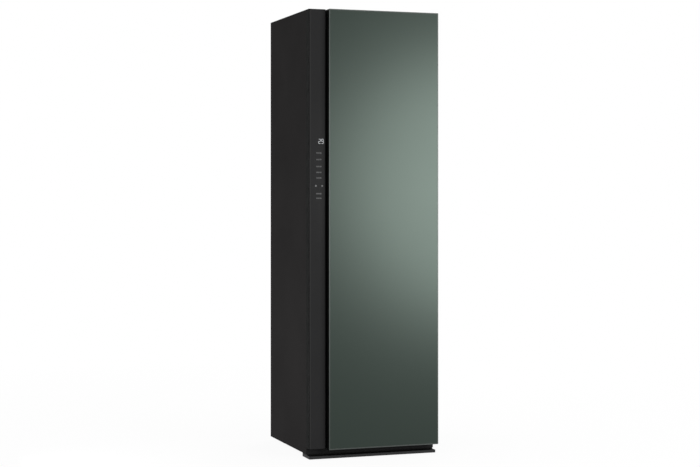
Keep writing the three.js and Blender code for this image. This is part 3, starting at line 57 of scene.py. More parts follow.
# %% Place the level camera
camera_place = (-2.372, -6.757, 1.1405)
camera_turn = math.radians(19.2621)
lens_length, film_width = 80.47, 36
lens_shift = -0.0518
door_middle = (0, -0.3, 1)
camera = bpy.data.objects.new("studio_camera", bpy.data.cameras.new("studio_camera"))
camera.location = camera_place
camera.rotation_euler = (math.pi / 2, 0, -camera_turn)
camera.data.lens = lens_length
camera.data.sensor_width = film_width
camera.data.shift_y = lens_shift
bpy.context.collection.objects.link(camera)
bpy.context.scene.camera = camera
bpy.context.scene.view_settings.view_transform = "Standard"
print("camera to door", round(math.dist(camera_place, door_middle), 2), "m")

# %% [markdown]
# ## Wiring a finish
# A finish is a small network of nodes. Each node could be made and linked by hand, line by
# line. One short helper that adds a node, sets it and feeds its inputs keeps every finish
# below to a few lines that read like a recipe.

# %% Helper that adds one node
def wire(tree, kind, feeds, **settings):
    """Adds one node. Each feed is a value, or another node's output, for the named input."""
    made = tree.nodes.new(kind)
    for name, value in settings.items():
        setattr(made, name, value)
    for name, value in feeds.items():
        if isinstance(value, bpy.types.NodeSocket):
            tree.links.new(value, made.inputs[name])
        else:
            made.inputs[name].default_value = value
    return made


# %% Helpers for the parts of a finish
noise_low, noise_high = 0.3, 0.7


def start_finish(name, **sockets):
    """A new material, with the constant values of its surface set on the shader itself."""
    made = bpy.data.materials.new(name)
    made.use_nodes = True
    shader = made.node_tree.nodes["Principled BSDF"]
    for socket, value in sockets.items():
        shader.inputs[socket.replace("_", " ")].default_value = value
    print("finish", name)
    return made, made.node_tree, shader


def on_piece(tree, stretch=(1, 1, 1)):
    """The point on the piece, in metres, multiplied by a stretch along each axis."""
    place = wire(tree, "ShaderNodeTexCoord", {}).outputs["Object"]
    return wire(tree, "ShaderNodeMapping", {"Vector": place, "Scale": stretch}).outputs[0]


def clouds(tree, size, detail=2.0, stretch=(1, 1, 1)):
    """Soft noise whose clouds are about that many metres across."""
    feeds = {"Vector": on_piece(tree, stretch), "Scale": 1 / size, "Detail": detail}
    return wire(tree, "ShaderNodeTexNoise", feeds).outputs[0]


def ranged(tree, amount, low=0.0, high=1.0, start=noise_low, end=noise_high):
    """Maps start to end onto low to high. Plain noise lies mostly between 0.3 and 0.7."""
    feeds = {0: amount, 1: start, 2: end, 3: low, 4: high}
    return wire(tree, "ShaderNodeMapRange", feeds).outputs[0]


def combined(tree, first, second, operation):
    """One number from two, such as their sum or the larger of them."""
    return wire(tree, "ShaderNodeMath", {0: first, 1: second}, operation=operation).outputs[0]


def blended(tree, amount, first, second):
    """A colour between two colours: first where the amount is 0, second where it is 1."""
    feeds = {0: amount, 6: (*first, 1), 7: (*second, 1)}
    return wire(tree, "ShaderNodeMix", feeds, data_type="RGBA").outputs[2]


def overlaid(tree, under, over, axis, start, end):
    """The colour under before the start and the plain colour over past the end, in metres
    along one axis of the piece."""
    place = wire(tree, "ShaderNodeSeparateXYZ", {0: on_piece(tree)}).outputs[axis]
    feeds = {0: ranged(tree, place, start=start, end=end), 6: under, 7: (*over, 1)}
    return wire(tree, "ShaderNodeMix", feeds, data_type="RGBA").outputs[2]


def coloured(tree, shader, amount, first, second):
    """Blends two colours by the amount for the surface itself."""
    tree.links.new(blended(tree, amount, first, second), shader.inputs["Base Color"])


def roughened(tree, shader, amount, low, high):
    """Lets the amount vary the roughness between low and high."""
    tree.links.new(ranged(tree, amount, low, high), shader.inputs["Roughness"])


def relief(tree, shader, height, depth, rounding=0.0):
    """Raises the surface by height times depth in metres, over edges softened by rounding."""
    feeds = {"Height": height, "Distance": depth}
    if rounding:
        feeds["Normal"] = wire(tree, "ShaderNodeBevel", {"Radius": rounding}, samples=4).outputs[0]
    bump = wire(tree, "ShaderNodeBump", feeds)
    tree.links.new(bump.outputs[0], shader.inputs["Normal"])


# %% [markdown]
# ## Painted steel
# The sides, back, top and door shell are bent steel sheet with a fine powder coat, a warm
# brown-black. Powder melts into tiny soft hills, so the light breaks up over the sheet
# instead of mirroring the room. Fine noise for the hills and a wide faint cloud for the
# coat's thickness do this without any picture.

# %% Powder coat
cloud_share = 0.6
coat_spread = 0.05
# A dark colour painted as shade where a neighbouring piece overhangs, and the height over which it
# fades in.
overhang_shade = (0.0025, 0.0025, 0.0026)
overhang_shade_edge = 0.0004


def powder_coat(name, dark, light, roughness, specular, shaded_above=None):
    """Two close tones by a wide cloud and by fine hills 0.7 mm across. Above a given height
    the colour is only a painted shade, dark as the shadow under the piece that overhangs it."""
    made, tree, shader = start_finish(name, Specular_IOR_Level=specular)
    hills = clouds(tree, size=0.0007, detail=3.0)
    cloud = ranged(tree, clouds(tree, size=0.35, detail=4.0), high=cloud_share)
    tone = combined(tree, cloud, ranged(tree, hills, high=1 - cloud_share), "ADD")
    coat = blended(tree, tone, dark, light)
    if shaded_above:
        coat = overlaid(tree, coat, overhang_shade, "Z", shaded_above - overhang_shade_edge, shaded_above)
    tree.links.new(coat, shader.inputs["Base Color"])
    roughened(tree, shader, hills, low=roughness - coat_spread, high=roughness + coat_spread)
    relief(tree, shader, hills, depth=0.00004, rounding=0.0012)
    return made


steel_paint = powder_coat(
    "steel_paint", (0.0198, 0.0187, 0.0189), (0.0271, 0.0258, 0.0258),
    roughness=0.6, specular=0.004,
)
hinge_paint = powder_coat(
    "hinge_paint", (0.009, 0.009, 0.0095), (0.012, 0.012, 0.0125), roughness=0.45, specular=0.4,
)
kick_paint = powder_coat(
    "kick_paint", (0.005, 0.005, 0.0055), (0.007, 0.007, 0.0072), roughness=0.6, specular=0.15,
)
# Its top, above 12.5 mm, is painted dark as the shade under the toe kick.
plinth_paint = powder_coat(
    "plinth_paint", (0.026, 0.026, 0.027), (0.033, 0.033, 0.034), roughness=0.6, specular=0.12,
    shaded_above=0.0125,
)
enamel = powder_coat(
    "compressor_enamel", (0.004, 0.0045, 0.005), (0.008, 0.0085, 0.009),
    roughness=0.32, specular=0.5,
)

# %% [markdown]
# ## Moulded plastic
# Liners, ducts, caps and tanks' lids are injection moulded. The mould is spark-eroded, so
# the plastic has a fine even grain, and the colour is nearly but not wholly even. A cell
# pattern gives a grain like leather's at about half a millimetre, which noise alone can't.

# %% Moulded plastic with a fine grain
polished_by, worn_by = 0.04, 0.06


def moulded(name, dark, light, roughness, grain=0.0006, depth=0.00003, specular=0.5):
    """Two close tones by a cloud, with a cell grain cut by the mould."""
    made, tree, shader = start_finish(name, Specular_IOR_Level=specular)
    coloured(tree, shader, ranged(tree, clouds(tree, size=0.12, detail=3.0)), dark, light)
    feeds = {"Vector": on_piece(tree), "Scale": 1 / grain}
    cells = wire(tree, "ShaderNodeTexVoronoi", feeds, feature="SMOOTH_F1").outputs[0]
    wear = clouds(tree, size=0.03, detail=4.0)
    roughened(tree, shader, wear, low=roughness - polished_by, high=roughness + worn_by)
    relief(tree, shader, cells, depth, rounding=0.0008)
    return made


black_plastic = moulded(
    "black_plastic", (0.0035, 0.0040, 0.0038), (0.0052, 0.0058, 0.0056),
    roughness=0.55, specular=0.02,
)
grey_plastic = moulded(
    "grey_plastic", (0.215, 0.222, 0.230), (0.245, 0.252, 0.260), roughness=0.46,
)
pale_liner = moulded(
    "pale_liner", (0.60, 0.60, 0.585), (0.66, 0.66, 0.645), roughness=0.42, grain=0.0011,
)
drive_plastic = moulded(
    "drive_plastic", (0.005, 0.0055, 0.006), (0.008, 0.0085, 0.009), roughness=0.34,
)
lamp_lens = moulded(
    "lamp_lens", (0.80, 0.79, 0.75), (0.86, 0.85, 0.82), roughness=0.34,
    grain=0.004, depth=0.0002,
)
rubber = moulded(
    "black_rubber", (0.005, 0.005, 0.005), (0.011, 0.011, 0.011), roughness=0.78,
    grain=0.0004, specular=0.3,
)

# %% [markdown]
# ## Touch panel
# The column beside the door is one smooth dark sheet. It mirrors the white studio only a
# little, and its face is faintly wavy, as moulded gloss plastic is. A wide shallow noise
# bends the mirror image, so the face doesn't look like a computer's perfect plane. Near its
# outer edge a paler line is painted into the colour as the highlight of the rounded edge,
# and the rim outside that line is painted black as the shade on the sheet's side.

# %% Smooth column face
# Painted highlight: a paler line near the outer edge. Painted shade: a black rim outside it.
painted_edge_highlight = {"over": (0.024, 0.024, 0.024), "start": -0.2875, "end": -0.2895}
painted_rim_shade = {"over": (0.0012, 0.0012, 0.0012), "start": -0.2942, "end": -0.2950}
column_gloss, tree, shader = start_finish("column_gloss", Specular_IOR_Level=0.1)
tone = ranged(tree, clouds(tree, size=0.2))
face = blended(tree, tone, (0.0165, 0.0165, 0.0168), (0.0182, 0.0182, 0.0186))
for strip in (painted_edge_highlight, painted_rim_shade):
    face = overlaid(tree, face, axis="X", **strip)
tree.links.new(face, shader.inputs["Base Color"])
roughened(tree, shader, clouds(tree, size=0.004, detail=4.0), low=0.13, high=0.15)
relief(tree, shader, clouds(tree, size=0.02), depth=0.00001, rounding=0.0025)

# %% [markdown]
# ## Satin green mirror glass
# The door's face is glass with a green coating behind it and a satin front. Under one soft
# lamp it shows a wide bell of light instead of a sharp image of the lamp. That bell is not
# painted: it comes from the roughness of the glass and from where the lamp hangs. Fine
# flakes in the coating vary the tint, and a wide cloud varies the roughness by a hundredth.

# %% Satin glass
door_glass, tree, shader = start_finish(
    "satin_green_glass", Specular_IOR_Level=0.51, Specular_Tint=(0.80, 1.0, 0.88, 1),
)
flakes = ranged(tree, clouds(tree, size=0.0009))
coloured(tree, shader, flakes, (0.0012, 0.0030, 0.0022), (0.0020, 0.0045, 0.0034))
roughened(tree, shader, clouds(tree, size=0.4, detail=3.0), low=0.276, high=0.288)
relief(tree, shader, clouds(tree, size=0.0012), depth=0.000004, rounding=0.0008)

# %% [markdown]
# ## Metals
# The solids have three bare metals: the anodised edge trim, mill-finish aluminium for the
# rail and the coils, and zinc-plated steel. Brushing leaves long scratches, so noise is
# squeezed across them and stretched along them. Zinc freezes in flat crystals, and a cell
# pattern gives each crystal a tone of its own.

# %% Brushed metal
smoothed_by, scratched_by = 0.06, 0.08


def brushed(name, dark, light, roughness, stretch, scratch=0.0006):
    """Long scratches: noise that is drawn out along one axis by the stretch."""
    made, tree, shader = start_finish(name, Metallic=1.0)
    scratches = clouds(tree, scratch, detail=3.0, stretch=stretch)
    coloured(tree, shader, ranged(tree, scratches), dark, light)
    low, high = roughness - smoothed_by, roughness + scratched_by
    roughened(tree, shader, scratches, low, high)
    relief(tree, shader, scratches, depth=0.00001, rounding=0.0006)
    return made


edge_metal = brushed(
    "edge_metal", (0.061, 0.068, 0.064), (0.071, 0.078, 0.074), roughness=0.36,
    stretch=(1, 1, 0.03),
)
rail_aluminium = brushed(
    "rail_aluminium", (0.50, 0.52, 0.54), (0.64, 0.65, 0.67), roughness=0.36,
    stretch=(0.03, 1, 1),
)


# %% Zinc-plated steel
def zinc_plated(name, dark, light, crystal=0.011):
    """Flat crystals, each with its own tone and gloss."""
    made, tree, shader = start_finish(name, Metallic=1.0)
    feeds = {"Vector": on_piece(tree), "Scale": 1 / crystal}
    crystals = wire(tree, "ShaderNodeTexVoronoi", feeds).outputs["Color"]
    lightness = wire(tree, "ShaderNodeRGBToBW", {"Color": crystals}).outputs[0]
    coloured(tree, shader, lightness, dark, light)
    roughened(tree, shader, lightness, low=0.34, high=0.5)
    relief(tree, shader, clouds(tree, size=0.002, detail=3.0), depth=0.00002, rounding=0.0008)
    return made


zinc_steel = zinc_plated("zinc_steel", (0.33, 0.34, 0.36), (0.48, 0.49, 0.50))

# %% Aluminium fins of the two coils
coil_fins, tree, shader = start_finish("coil_fins", Metallic=1.0)
feeds = {"Vector": on_piece(tree), "Scale": 140.0, "Distortion": 0.3, "Detail": 1.0}
fin_lines = wire(tree, "ShaderNodeTexWave", feeds, bands_direction="X").outputs[1]
coloured(tree, shader, fin_lines, (0.20, 0.21, 0.22), (0.66, 0.68, 0.70))
roughened(tree, shader, clouds(tree, size=0.01, detail=4.0), low=0.32, high=0.5)
relief(tree, shader, fin_lines, depth=0.0004)

# %% [markdown]
# ## Tanks, circuit board and press pad
# The two tanks are smoky see-through plastic, so that water shows through when they are
# filled. The display board has a green mask over copper tracks, and a brick pattern stands
# for the tracks, because both run straight and turn at right angles. The press pad is woven
# cloth: two sets of threads at right angles, one over the other. Plain noise would look like
# felt, so each set of threads is a row of waves.

# %% Smoky tank plastic
tank_plastic, tree, shader = start_finish("tank_plastic", Transmission_Weight=0.75, IOR=1.49)
haze = clouds(tree, size=0.05, detail=3.0)
coloured(tree, shader, ranged(tree, haze), (0.36, 0.46, 0.50), (0.44, 0.53, 0.57))
roughened(tree, shader, haze, low=0.12, high=0.2)
relief(tree, shader, clouds(tree, size=0.012), depth=0.00004)

# %% Green mask with copper tracks
board_mask, tree, shader = start_finish("board_mask", Coat_Weight=0.5)
feeds = {"Vector": on_piece(tree, stretch=(1, 1, 0.4)), "Scale": 260.0, "Mortar Size": 0.06}
tracks = wire(tree, "ShaderNodeTexBrick", feeds).outputs[1]
coloured(tree, shader, tracks, (0.008, 0.060, 0.024), (0.022, 0.115, 0.045))
roughened(tree, shader, clouds(tree, size=0.01), low=0.3, high=0.4)
relief(tree, shader, tracks, depth=0.00004)

# %% Woven press cloth
thread = 0.0009
press_cloth, tree, shader = start_finish(
    "press_cloth", Sheen_Weight=0.3, Specular_IOR_Level=0.2,
)
feeds = {"Vector": on_piece(tree), "Scale": 0.5 / thread}
warp, weft = (
    wire(tree, "ShaderNodeTexWave", feeds, bands_direction=axis).outputs[1] for axis in "XZ"
)
weave = combined(tree, warp, weft, "MAXIMUM")
soil = ranged(tree, clouds(tree, size=0.09, detail=4.0))
coloured(tree, shader, soil, (0.42, 0.40, 0.36), (0.50, 0.48, 0.44))
roughened(tree, shader, weave, low=0.82, high=0.95)
relief(tree, shader, weave, depth=0.0002)

# %% [markdown]
# ## Giving the finishes to the solids
# Each solid came in with one plain colour. The list below says which finish each of them
# gets, and every solid is in it once.

# %% Hand out the finishes
finishes = {
    steel_paint: ["left_side_panel", "right_side_panel", "back_panel", "top_panel", "door_shell"],
    kick_paint: ["toe_kick"],
    plinth_paint: ["base_plate"],
    enamel: ["compressor"],
    black_plastic: [
        "column_housing", "grip_wall", "grip_channel", "door_top_cap", "door_bottom_cap",
        "press_latch", "control_box", "feed_pump", "drain_pump", "cord_gland",
    ],
    grey_plastic: [
        "front_frame", "ceiling_cover", "left_shelf_rail", "right_shelf_rail", "shelf_rack",
        "lint_filter", "air_outlet_grille", "steam_nozzle", "tank_bay", "supply_tank_lid",
        "drain_tank_lid", "press_board", "press_panel", "air_duct", "fan_housing", "fan_wheel",
    ],
    pale_liner: ["chamber_liner", "chamber_back", "door_liner"],
    drive_plastic: ["hanger_drive"],
    lamp_lens: ["chamber_lamp"],
    rubber: [
        "front_left_foot", "front_right_foot", "rear_left_foot", "rear_right_foot",
        "door_gasket",
    ],
    column_gloss: ["column_panel"],
    door_glass: ["door_glass"],
    edge_metal: ["door_trim"],
    rail_aluminium: ["hanger_rail"],
    hinge_paint: ["upper_hinge_bracket", "lower_hinge_bracket"],
    zinc_steel: ["base_pan", "hanger_guide", "fan_motor", "steam_generator"],
    coil_fins: ["evaporator", "condenser"],
    tank_plastic: ["supply_tank", "drain_tank"],
    board_mask: ["display_module"],
    press_cloth: ["press_pad"],
}
for finish, names in finishes.items():
    for name in names:
        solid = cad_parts[name]
        if not solid.material_slots:
            solid.data.materials.append(finish)
        for slot in solid.material_slots:
            slot.material = finish
finished = [name for names in finishes.values() for name in names]
print("finished solids:", len(finished), "left over:", sorted(set(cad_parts) - set(finished)))

# %% [markdown]
# ## Surfaces from arrays
# Every new piece below is a surface worked out with numpy: a grid of points, as rows and
# columns, with a face between each four neighbours. Whole arrays are computed at once. Each
# row closes on itself, so a grid is a tube. Its first and last rows are either joined to
# each other, which makes a ring, or closed by a fan of faces each.

# %% Helper that makes one piece from grids of points
def surface_piece(name, grids, finish, body, smooth=True, wrap_rows=False):
    """grids has the shape (copies, rows, columns, 3). Faces join each point to its next row
    and next column. Open first and last rows are closed by a fan onto their middle point."""
    grids = np.asarray(grids, float)
    copies, rows, columns, _ = grids.shape
    around = np.arange(columns)
    r, c = np.meshgrid(np.arange(rows if wrap_rows else rows - 1), around, indexing="ij")
    r2, c2 = (r + 1) % rows, (c + 1) % columns
    quads = np.stack(
        [r * columns + c, r * columns + c2, r2 * columns + c2, r2 * columns + c], -1,
    ).reshape(-1, 4)
    first_row = np.arange(copies)[:, None] * rows * columns
    faces = (quads[None] + first_row[..., None]).reshape(-1, 4).tolist()
    points = grids.reshape(-1, 3)
    if not wrap_rows:
        middle = len(points) + np.arange(copies)[:, None]
        points = np.concatenate([points, grids[:, 0].mean(1), grids[:, -1].mean(1)])
        last_row = first_row + (rows - 1) * columns
        after = (around + 1) % columns
        first_fan = (first_row + after, first_row + around, middle)
        last_fan = (last_row + around, last_row + after, middle + copies)
        for fan in (first_fan, last_fan):
            faces += np.stack(np.broadcast_arrays(*fan), -1).reshape(-1, 3).tolist()
    mesh = bpy.data.meshes.new(name)
    mesh.from_pydata(points.tolist(), [], faces)
    mesh.validate()
    mesh.polygons.foreach_set("use_smooth", np.full(len(mesh.polygons), smooth))
    made = bpy.data.objects.new(name, mesh)
    bpy.context.collection.objects.link(made)
    mesh.materials.append(finish)
    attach(made, body)
    print(name, len(mesh.polygons), "faces")
    return made


# %% [markdown]
# ## Display
# Two lit digits show on the column's dark sheet, 1.38 m above the floor. Digits typed in a
# font would have round strokes and no gaps, so each digit is a choice out of seven bars with
# pointed ends. The bars are thin six-sided plates, a tenth of a millimetre proud of the sheet
# so that they show.

# %% Lit digits
lit_white, tree, shader = start_finish(
    "lit_white", Base_Color=(0.02, 0.02, 0.02, 1), Emission_Strength=0.6,
)
glow = ranged(tree, clouds(tree, size=0.003), low=0.75, high=0.9)
glow_colour = blended(tree, glow, (0.62, 0.66, 0.68), (0.86, 0.90, 0.92))
tree.links.new(glow_colour, shader.inputs["Emission Color"])
digit_height, digit_width = 0.0185, 0.0095
digit_z = 1.3840
digit_lefts = {"2": -0.2535, "9": -0.2408}
digit_bars = {"2": "abged", "9": "abcdfg"}
bar_half = 0.0010
tip_gap = 0.00035
bar_names = "abcdefg"
bar_middles = np.array([(0, 1), (1, 0.5), (1, -0.5), (0, -1), (-1, -0.5), (-1, 0.5), (0, 0)])
bar_upright = np.array([0, 1, 1, 0, 1, 1, 0], bool)


def bar_outlines(digit, left):
    """Six corners of each bar: a stretched hexagon, turned upright where the bar is upright."""
    chosen = [bar_names.index(letter) for letter in digit_bars[digit]]
    upright = bar_upright[chosen][:, None]
    tip = np.where(upright, digit_height / 4, digit_width / 2) - tip_gap
    along = tip * np.array([-1, -1, 1, 1, 1, -1]) + bar_half * np.array([0, 1, -1, 0, -1, 1])
    across = np.broadcast_to(bar_half * np.array([0, -1, -1, 0, 1, 1]), along.shape)
    middle_x = left + digit_width / 2 * (1 + bar_middles[chosen, :1])
    middle_z = digit_z + digit_height / 2 * bar_middles[chosen, 1:]
    x = np.where(upright, across, along) + middle_x
    z = np.where(upright, along, across) + middle_z
    return np.stack([x, z], -1)


face_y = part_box("column_panel")[0].y
mark_sunk, mark_proud = 0.0003, 0.00012
mark_depths = np.array([face_y + mark_sunk, face_y - mark_proud])


def thin_plates(outlines):
    """Each outline, drawn as a closed plate from just behind the sheet's face to before it."""
    plates = np.empty((len(outlines), 2, outlines.shape[1], 3))
    plates[..., 0] = outlines[:, None, :, 0]
    plates[..., 1] = mark_depths[None, :, None]
    plates[..., 2] = outlines[:, None, :, 1]
    return plates


bars = np.concatenate([bar_outlines(digit, left) for digit, left in digit_lefts.items()])
digits = surface_piece("display_digits", thin_plates(bars), lit_white, "cabinet", smooth=False)

# %% [markdown]
# ## Touch marks
# Under the digits the sheet has faint printed marks for the touch places: rows of plain pips
# and two dots. A pattern in the sheet's finish could draw them, but thin plates of their own
# keep a sharp edge, and their colour can be set by itself.

# %% Faint printed marks
faint_print = moulded(
    "faint_print", (0.035, 0.036, 0.037), (0.046, 0.047, 0.048), roughness=0.4,
)
dot_print = moulded("dot_print", (0.10, 0.102, 0.105), (0.13, 0.132, 0.135), roughness=0.4)


def round_outlines(places, half_width, half_height, steps=16):
    """A superellipse of power 4 about each place: cosine and sine, drawn out to their roots."""
    angle = np.arange(steps) / steps * 2 * np.pi
    c, s = np.cos(angle), np.sin(angle)
    x = np.sign(c) * np.sqrt(np.abs(c)) * half_width
    z = np.sign(s) * np.sqrt(np.abs(s)) * half_height
    places = np.asarray(places, float)
    return np.stack([places[:, :1] + x, places[:, 1:] + z], -1)


pip_columns = [-0.2605, -0.2520, -0.2435]
pip_rows = [1.3333, 1.3046, 1.2741, 1.2487, 1.2246, 1.1560, 1.1363]
pip_places = np.stack(np.meshgrid(pip_columns, pip_rows), -1).reshape(-1, 2)
pip_plates = thin_plates(round_outlines(pip_places, half_width=0.0030, half_height=0.0032))
pips = surface_piece("touch_pips", pip_plates, faint_print, "cabinet", smooth=False)
dot_places = [(-0.2660, 1.1900), (-0.2370, 1.1900)]
dot_plates = thin_plates(round_outlines(dot_places, half_width=0.0034, half_height=0.0040))
dots = surface_piece("touch_dots", dot_plates, dot_print, "cabinet", smooth=False)

# %% [markdown]
# ## Press cover
# The press on the door squeezes trousers between a hinged panel and a padded cloth cover. The
# cover is felt in a sewn sleeve: thickest between its seams, and pulled thin along them. It
# is only 4 mm thick, too thin for a cloth simulation to swell well, so the swell is a
# formula: rounded rims, and sewn channels that dent the face that touches the clothes.

# %% Padded cover with sewn channels
pad_low, pad_high = np.array(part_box("press_pad")[0]), np.array(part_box("press_pad")[1])
pad_size = pad_high - pad_low
rim_width = 0.007
rim_share = 0.3
seat_share = 0.06
channel_count = 12
channel_depth = 0.42
seam_power = 40
points_across, points_upward = 90, 290


def rim_rise(place, length):
    """A quarter ellipse over the rim at either end of a side, and 1 between the rims."""
    share = np.clip(np.minimum(place, length - place) / rim_width, 0, 1)
    return np.sqrt(1 - (1 - share) ** 2)


def swell(x, z):
    """Thickness share at a place in metres from the pad's low corner: a quarter ellipse over
    the rim on all four sides, times 1 minus a dent that is a cosine to the 40th power."""
    dent = np.cos(np.pi * channel_count * z / pad_size[2]) ** seam_power
    inner = np.clip((np.minimum(x, pad_size[0] - x) - rim_width) / rim_width, 0, 1)
    rise = rim_rise(x, pad_size[0]) * rim_rise(z, pad_size[2])
    return (rim_share + (1 - rim_share) * rise) * (1 - channel_depth * dent * inner)


across = (1 - np.cos(np.linspace(0, np.pi, points_across))) / 2 * pad_size[0]
upward = np.linspace(0, pad_size[2], points_upward)
z_grid, x_grid = np.meshgrid(upward, across, indexing="ij")
thickness = swell(x_grid, z_grid)
flat_side = pad_low[1] + (1 - thickness) * seat_share * pad_size[1]
full_side = pad_low[1] + thickness * pad_size[1]
loop_x = np.concatenate([x_grid, x_grid[:, ::-1]], 1) + pad_low[0]
loop_y = np.concatenate([flat_side, full_side[:, ::-1]], 1)
loop_z = np.concatenate([z_grid, z_grid[:, ::-1]], 1) + pad_low[2]
cover_grid = np.stack([loop_x, loop_y, loop_z], -1)
cover = surface_piece("press_cover", [cover_grid], press_cloth, "door")
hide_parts("press_pad")


# %% Seam stitches
def small_rods(centres, along, half_length, half_width, rings=5, steps=6, last_latitude=1.45):
    """Ellipsoids drawn out along one direction: a sine of the latitude along it, a cosine
    across. The last latitude is in radians, a little short of the poles."""
    along, aslant = np.asarray(along, float), [0.3, 0.5, 0.8]
    side = np.cross(along, aslant)
    side /= np.linalg.norm(side)
    other = np.cross(along, side)
    latitude = np.linspace(-last_latitude, last_latitude, rings)[:, None, None]
    angle = (np.arange(steps) / steps * 2 * np.pi)[None, :, None]
    circle = side * np.cos(angle) + other * np.sin(angle)
    shape = along * np.sin(latitude) * half_length + circle * np.cos(latitude) * half_width
    return np.asarray(centres)[:, None, None, :] + shape


stitch_pitch = 0.0052
stitch_x = np.arange(rim_width * 2, pad_size[0] - rim_width * 2, stitch_pitch)
seam_z = np.arange(1, channel_count) / channel_count * pad_size[2]
x, z = (grid.ravel() for grid in np.meshgrid(stitch_x, seam_z))
stitch_places = pad_low + np.stack([x, swell(x, z) * pad_size[1], z], -1)
thread_finish = moulded(
    "sewing_thread", (0.30, 0.29, 0.27), (0.38, 0.37, 0.34), roughness=0.7, grain=0.0003,
)
stitch_grids = small_rods(stitch_places, (1, 0, 0), half_length=0.0017, half_width=0.00035)
stitches = surface_piece("press_stitches", stitch_grids, thread_finish, "door")

# %% [markdown]
# ## Door gasket
# A soft gasket seals the chamber. On the real door it is an extruded bellows: a base held by
# the door's liner, two pleats that give way, and a flat head with a magnet strip inside. An
# extrusion is one profile carried along a path, so the piece is that profile at each point
# of a rounded rectangle.

# %% Bellows gasket
ring_low, ring_high = np.array(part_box("door_gasket")[0]), np.array(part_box("door_gasket")[1])
strip_half = 0.005
pleat_depth = 0.30
end_share = 0.05
end_rounding = 0.0006
profile_steps = 25
corner_radius = 0.012
corner_steps = 10
corner_turns = (np.arange(4) * np.pi / 2)[:, None]
angle = np.linspace(0, np.pi / 2, corner_steps)[None] + corner_turns
out_x, out_z = np.cos(angle), np.sin(angle)
sign_x, sign_z = np.sign(out_x.mean(1)), np.sign(out_z.mean(1))
corner_x = np.where(sign_x > 0, ring_high[0], ring_low[0])
corner_z = np.where(sign_z > 0, ring_high[2], ring_low[2])
reach = corner_radius + strip_half
path_x = (corner_x - sign_x * reach)[:, None] + corner_radius * out_x
path_z = (corner_z - sign_z * reach)[:, None] + corner_radius * out_z


def bellows_half_width(share):
    """Full width at the base, middle and head, less two pleats that are the square of one
    sine wave, with the last twentieth at either end rounded by a quarter ellipse."""
    pleat = 1 - pleat_depth * np.sin(2 * np.pi * share) ** 2
    end = np.clip((np.abs(2 * share - 1) - (1 - 2 * end_share)) / (2 * end_share), 0, 1)
    return strip_half * pleat - end_rounding * (1 - np.sqrt(1 - end ** 2))


depth_share = np.linspace(0, 1, profile_steps)
half_width = bellows_half_width(depth_share)
profile_out = np.concatenate([half_width, -half_width[::-1]])
there_and_back = np.concatenate([depth_share, depth_share[::-1]])
ring = np.empty((path_x.size, profile_out.size, 3))
ring[..., 0] = path_x.ravel()[:, None] + out_x.ravel()[:, None] * profile_out
ring[..., 1] = ring_low[1] + there_and_back * (ring_high[1] - ring_low[1])
ring[..., 2] = path_z.ravel()[:, None] + out_z.ravel()[:, None] * profile_out
gasket = surface_piece("bellows_gasket", [ring], rubber, "door", wrap_rows=True)
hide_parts("door_gasket")

# %% [markdown]
# ## Screws
# Pan-head screws hold the back, the top and the hinge brackets. A solid for each would be
# wasteful, yet a back without them looks like a drawing. One head is a low dome with a sunk
# cross, turned about its axis, and copies of it stand wherever a list of places says.

# %% Screw heads
dome_shares = np.array(
    [1.0, 1.0, 0.96, 0.86, 0.70, 0.56, 0.54, 0.44, 0.34, 0.24, 0.16, 0.14, 0.07, 0.01],
)[:, None]
dome_steps = 40
rim_level, root_level = 0.25, -0.2
cross_half_width, cross_half_length, cross_depth = 0.15, 0.55, 0.55


def screw_heads(places, first, second, radius, height):
    """A dome by the fourth-power law, turned round the outward direction first x second. The
    cross is sunk where one side coordinate is small and the other is within its length."""
    first, second = np.asarray(first, float), np.asarray(second, float)
    outward = np.cross(first, second)
    angle = (np.arange(dome_steps) / dome_steps * 2 * np.pi)[None]
    x, y = dome_shares * np.cos(angle), dome_shares * np.sin(angle)
    rise = (1 - dome_shares ** 4) * (1 - rim_level) + rim_level
    rise[0] = root_level
    small, large = np.minimum(np.abs(x), np.abs(y)), np.maximum(np.abs(x), np.abs(y))
    in_cross = (small < cross_half_width) & (large < cross_half_length)
    rise = np.where(in_cross, rise - cross_depth, rise)[..., None] * outward * height
    head = (x[..., None] * first + y[..., None] * second) * radius + rise
    return np.asarray(places, float)[:, None, None, :] + head


side_inset, top_inset = 0.007, 0.0065
rear_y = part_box("left_side_panel")[1].y
side_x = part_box("right_side_panel")[1].x - side_inset
top_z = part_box("top_panel")[0].z + top_inset
side_z = np.linspace(0.07, 1.90, 8)
top_x = np.linspace(-0.22, 0.22, 5)
back_places = [(x, rear_y, z) for z in side_z for x in (-side_x, side_x)]
back_places += [(x, rear_y, top_z) for x in top_x]
back_heads = screw_heads(back_places, (0, 0, 1), (1, 0, 0), radius=0.0036, height=0.0021)
back_screws = surface_piece("back_screws", back_heads, zinc_steel, "cabinet", smooth=False)
tab_inset_y, tab_inset_z = 0.0036, 0.0042
tab_x = (0.2806, 0.2918)
tab_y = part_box("lower_hinge_bracket")[1].y - tab_inset_y
tab_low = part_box("lower_hinge_bracket")[0].z + tab_inset_z
tab_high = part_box("upper_hinge_bracket")[1].z - tab_inset_z
tab_places = [(x, tab_y, z) for z in (tab_low, tab_high) for x in tab_x]
tab_heads = screw_heads(tab_places, (1, 0, 0), (0, 0, 1), radius=0.0030, height=0.0012)
hinge_screws = surface_piece("hinge_screws", tab_heads, zinc_steel, "cabinet", smooth=False)

# %% [markdown]
# ## Lint filter mesh
# Air leaves the chamber through a woven mesh that catches lint. Its wires pass over and under
# each other in turn. A flat sheet with a pattern of holes would look like paper from the
# side, so each wire is a thin four-sided tube whose middle line is a cosine. Every second
# wire is shifted by half a wave, which is what makes it a weave.

# %% Woven filter mesh
mesh_low, mesh_high = np.array([-0.0975, -0.1869]), np.array([0.0975, -0.1319])
mesh_height = 0.2712
mesh_pitch = 0.0038
wire_radius = 0.00035


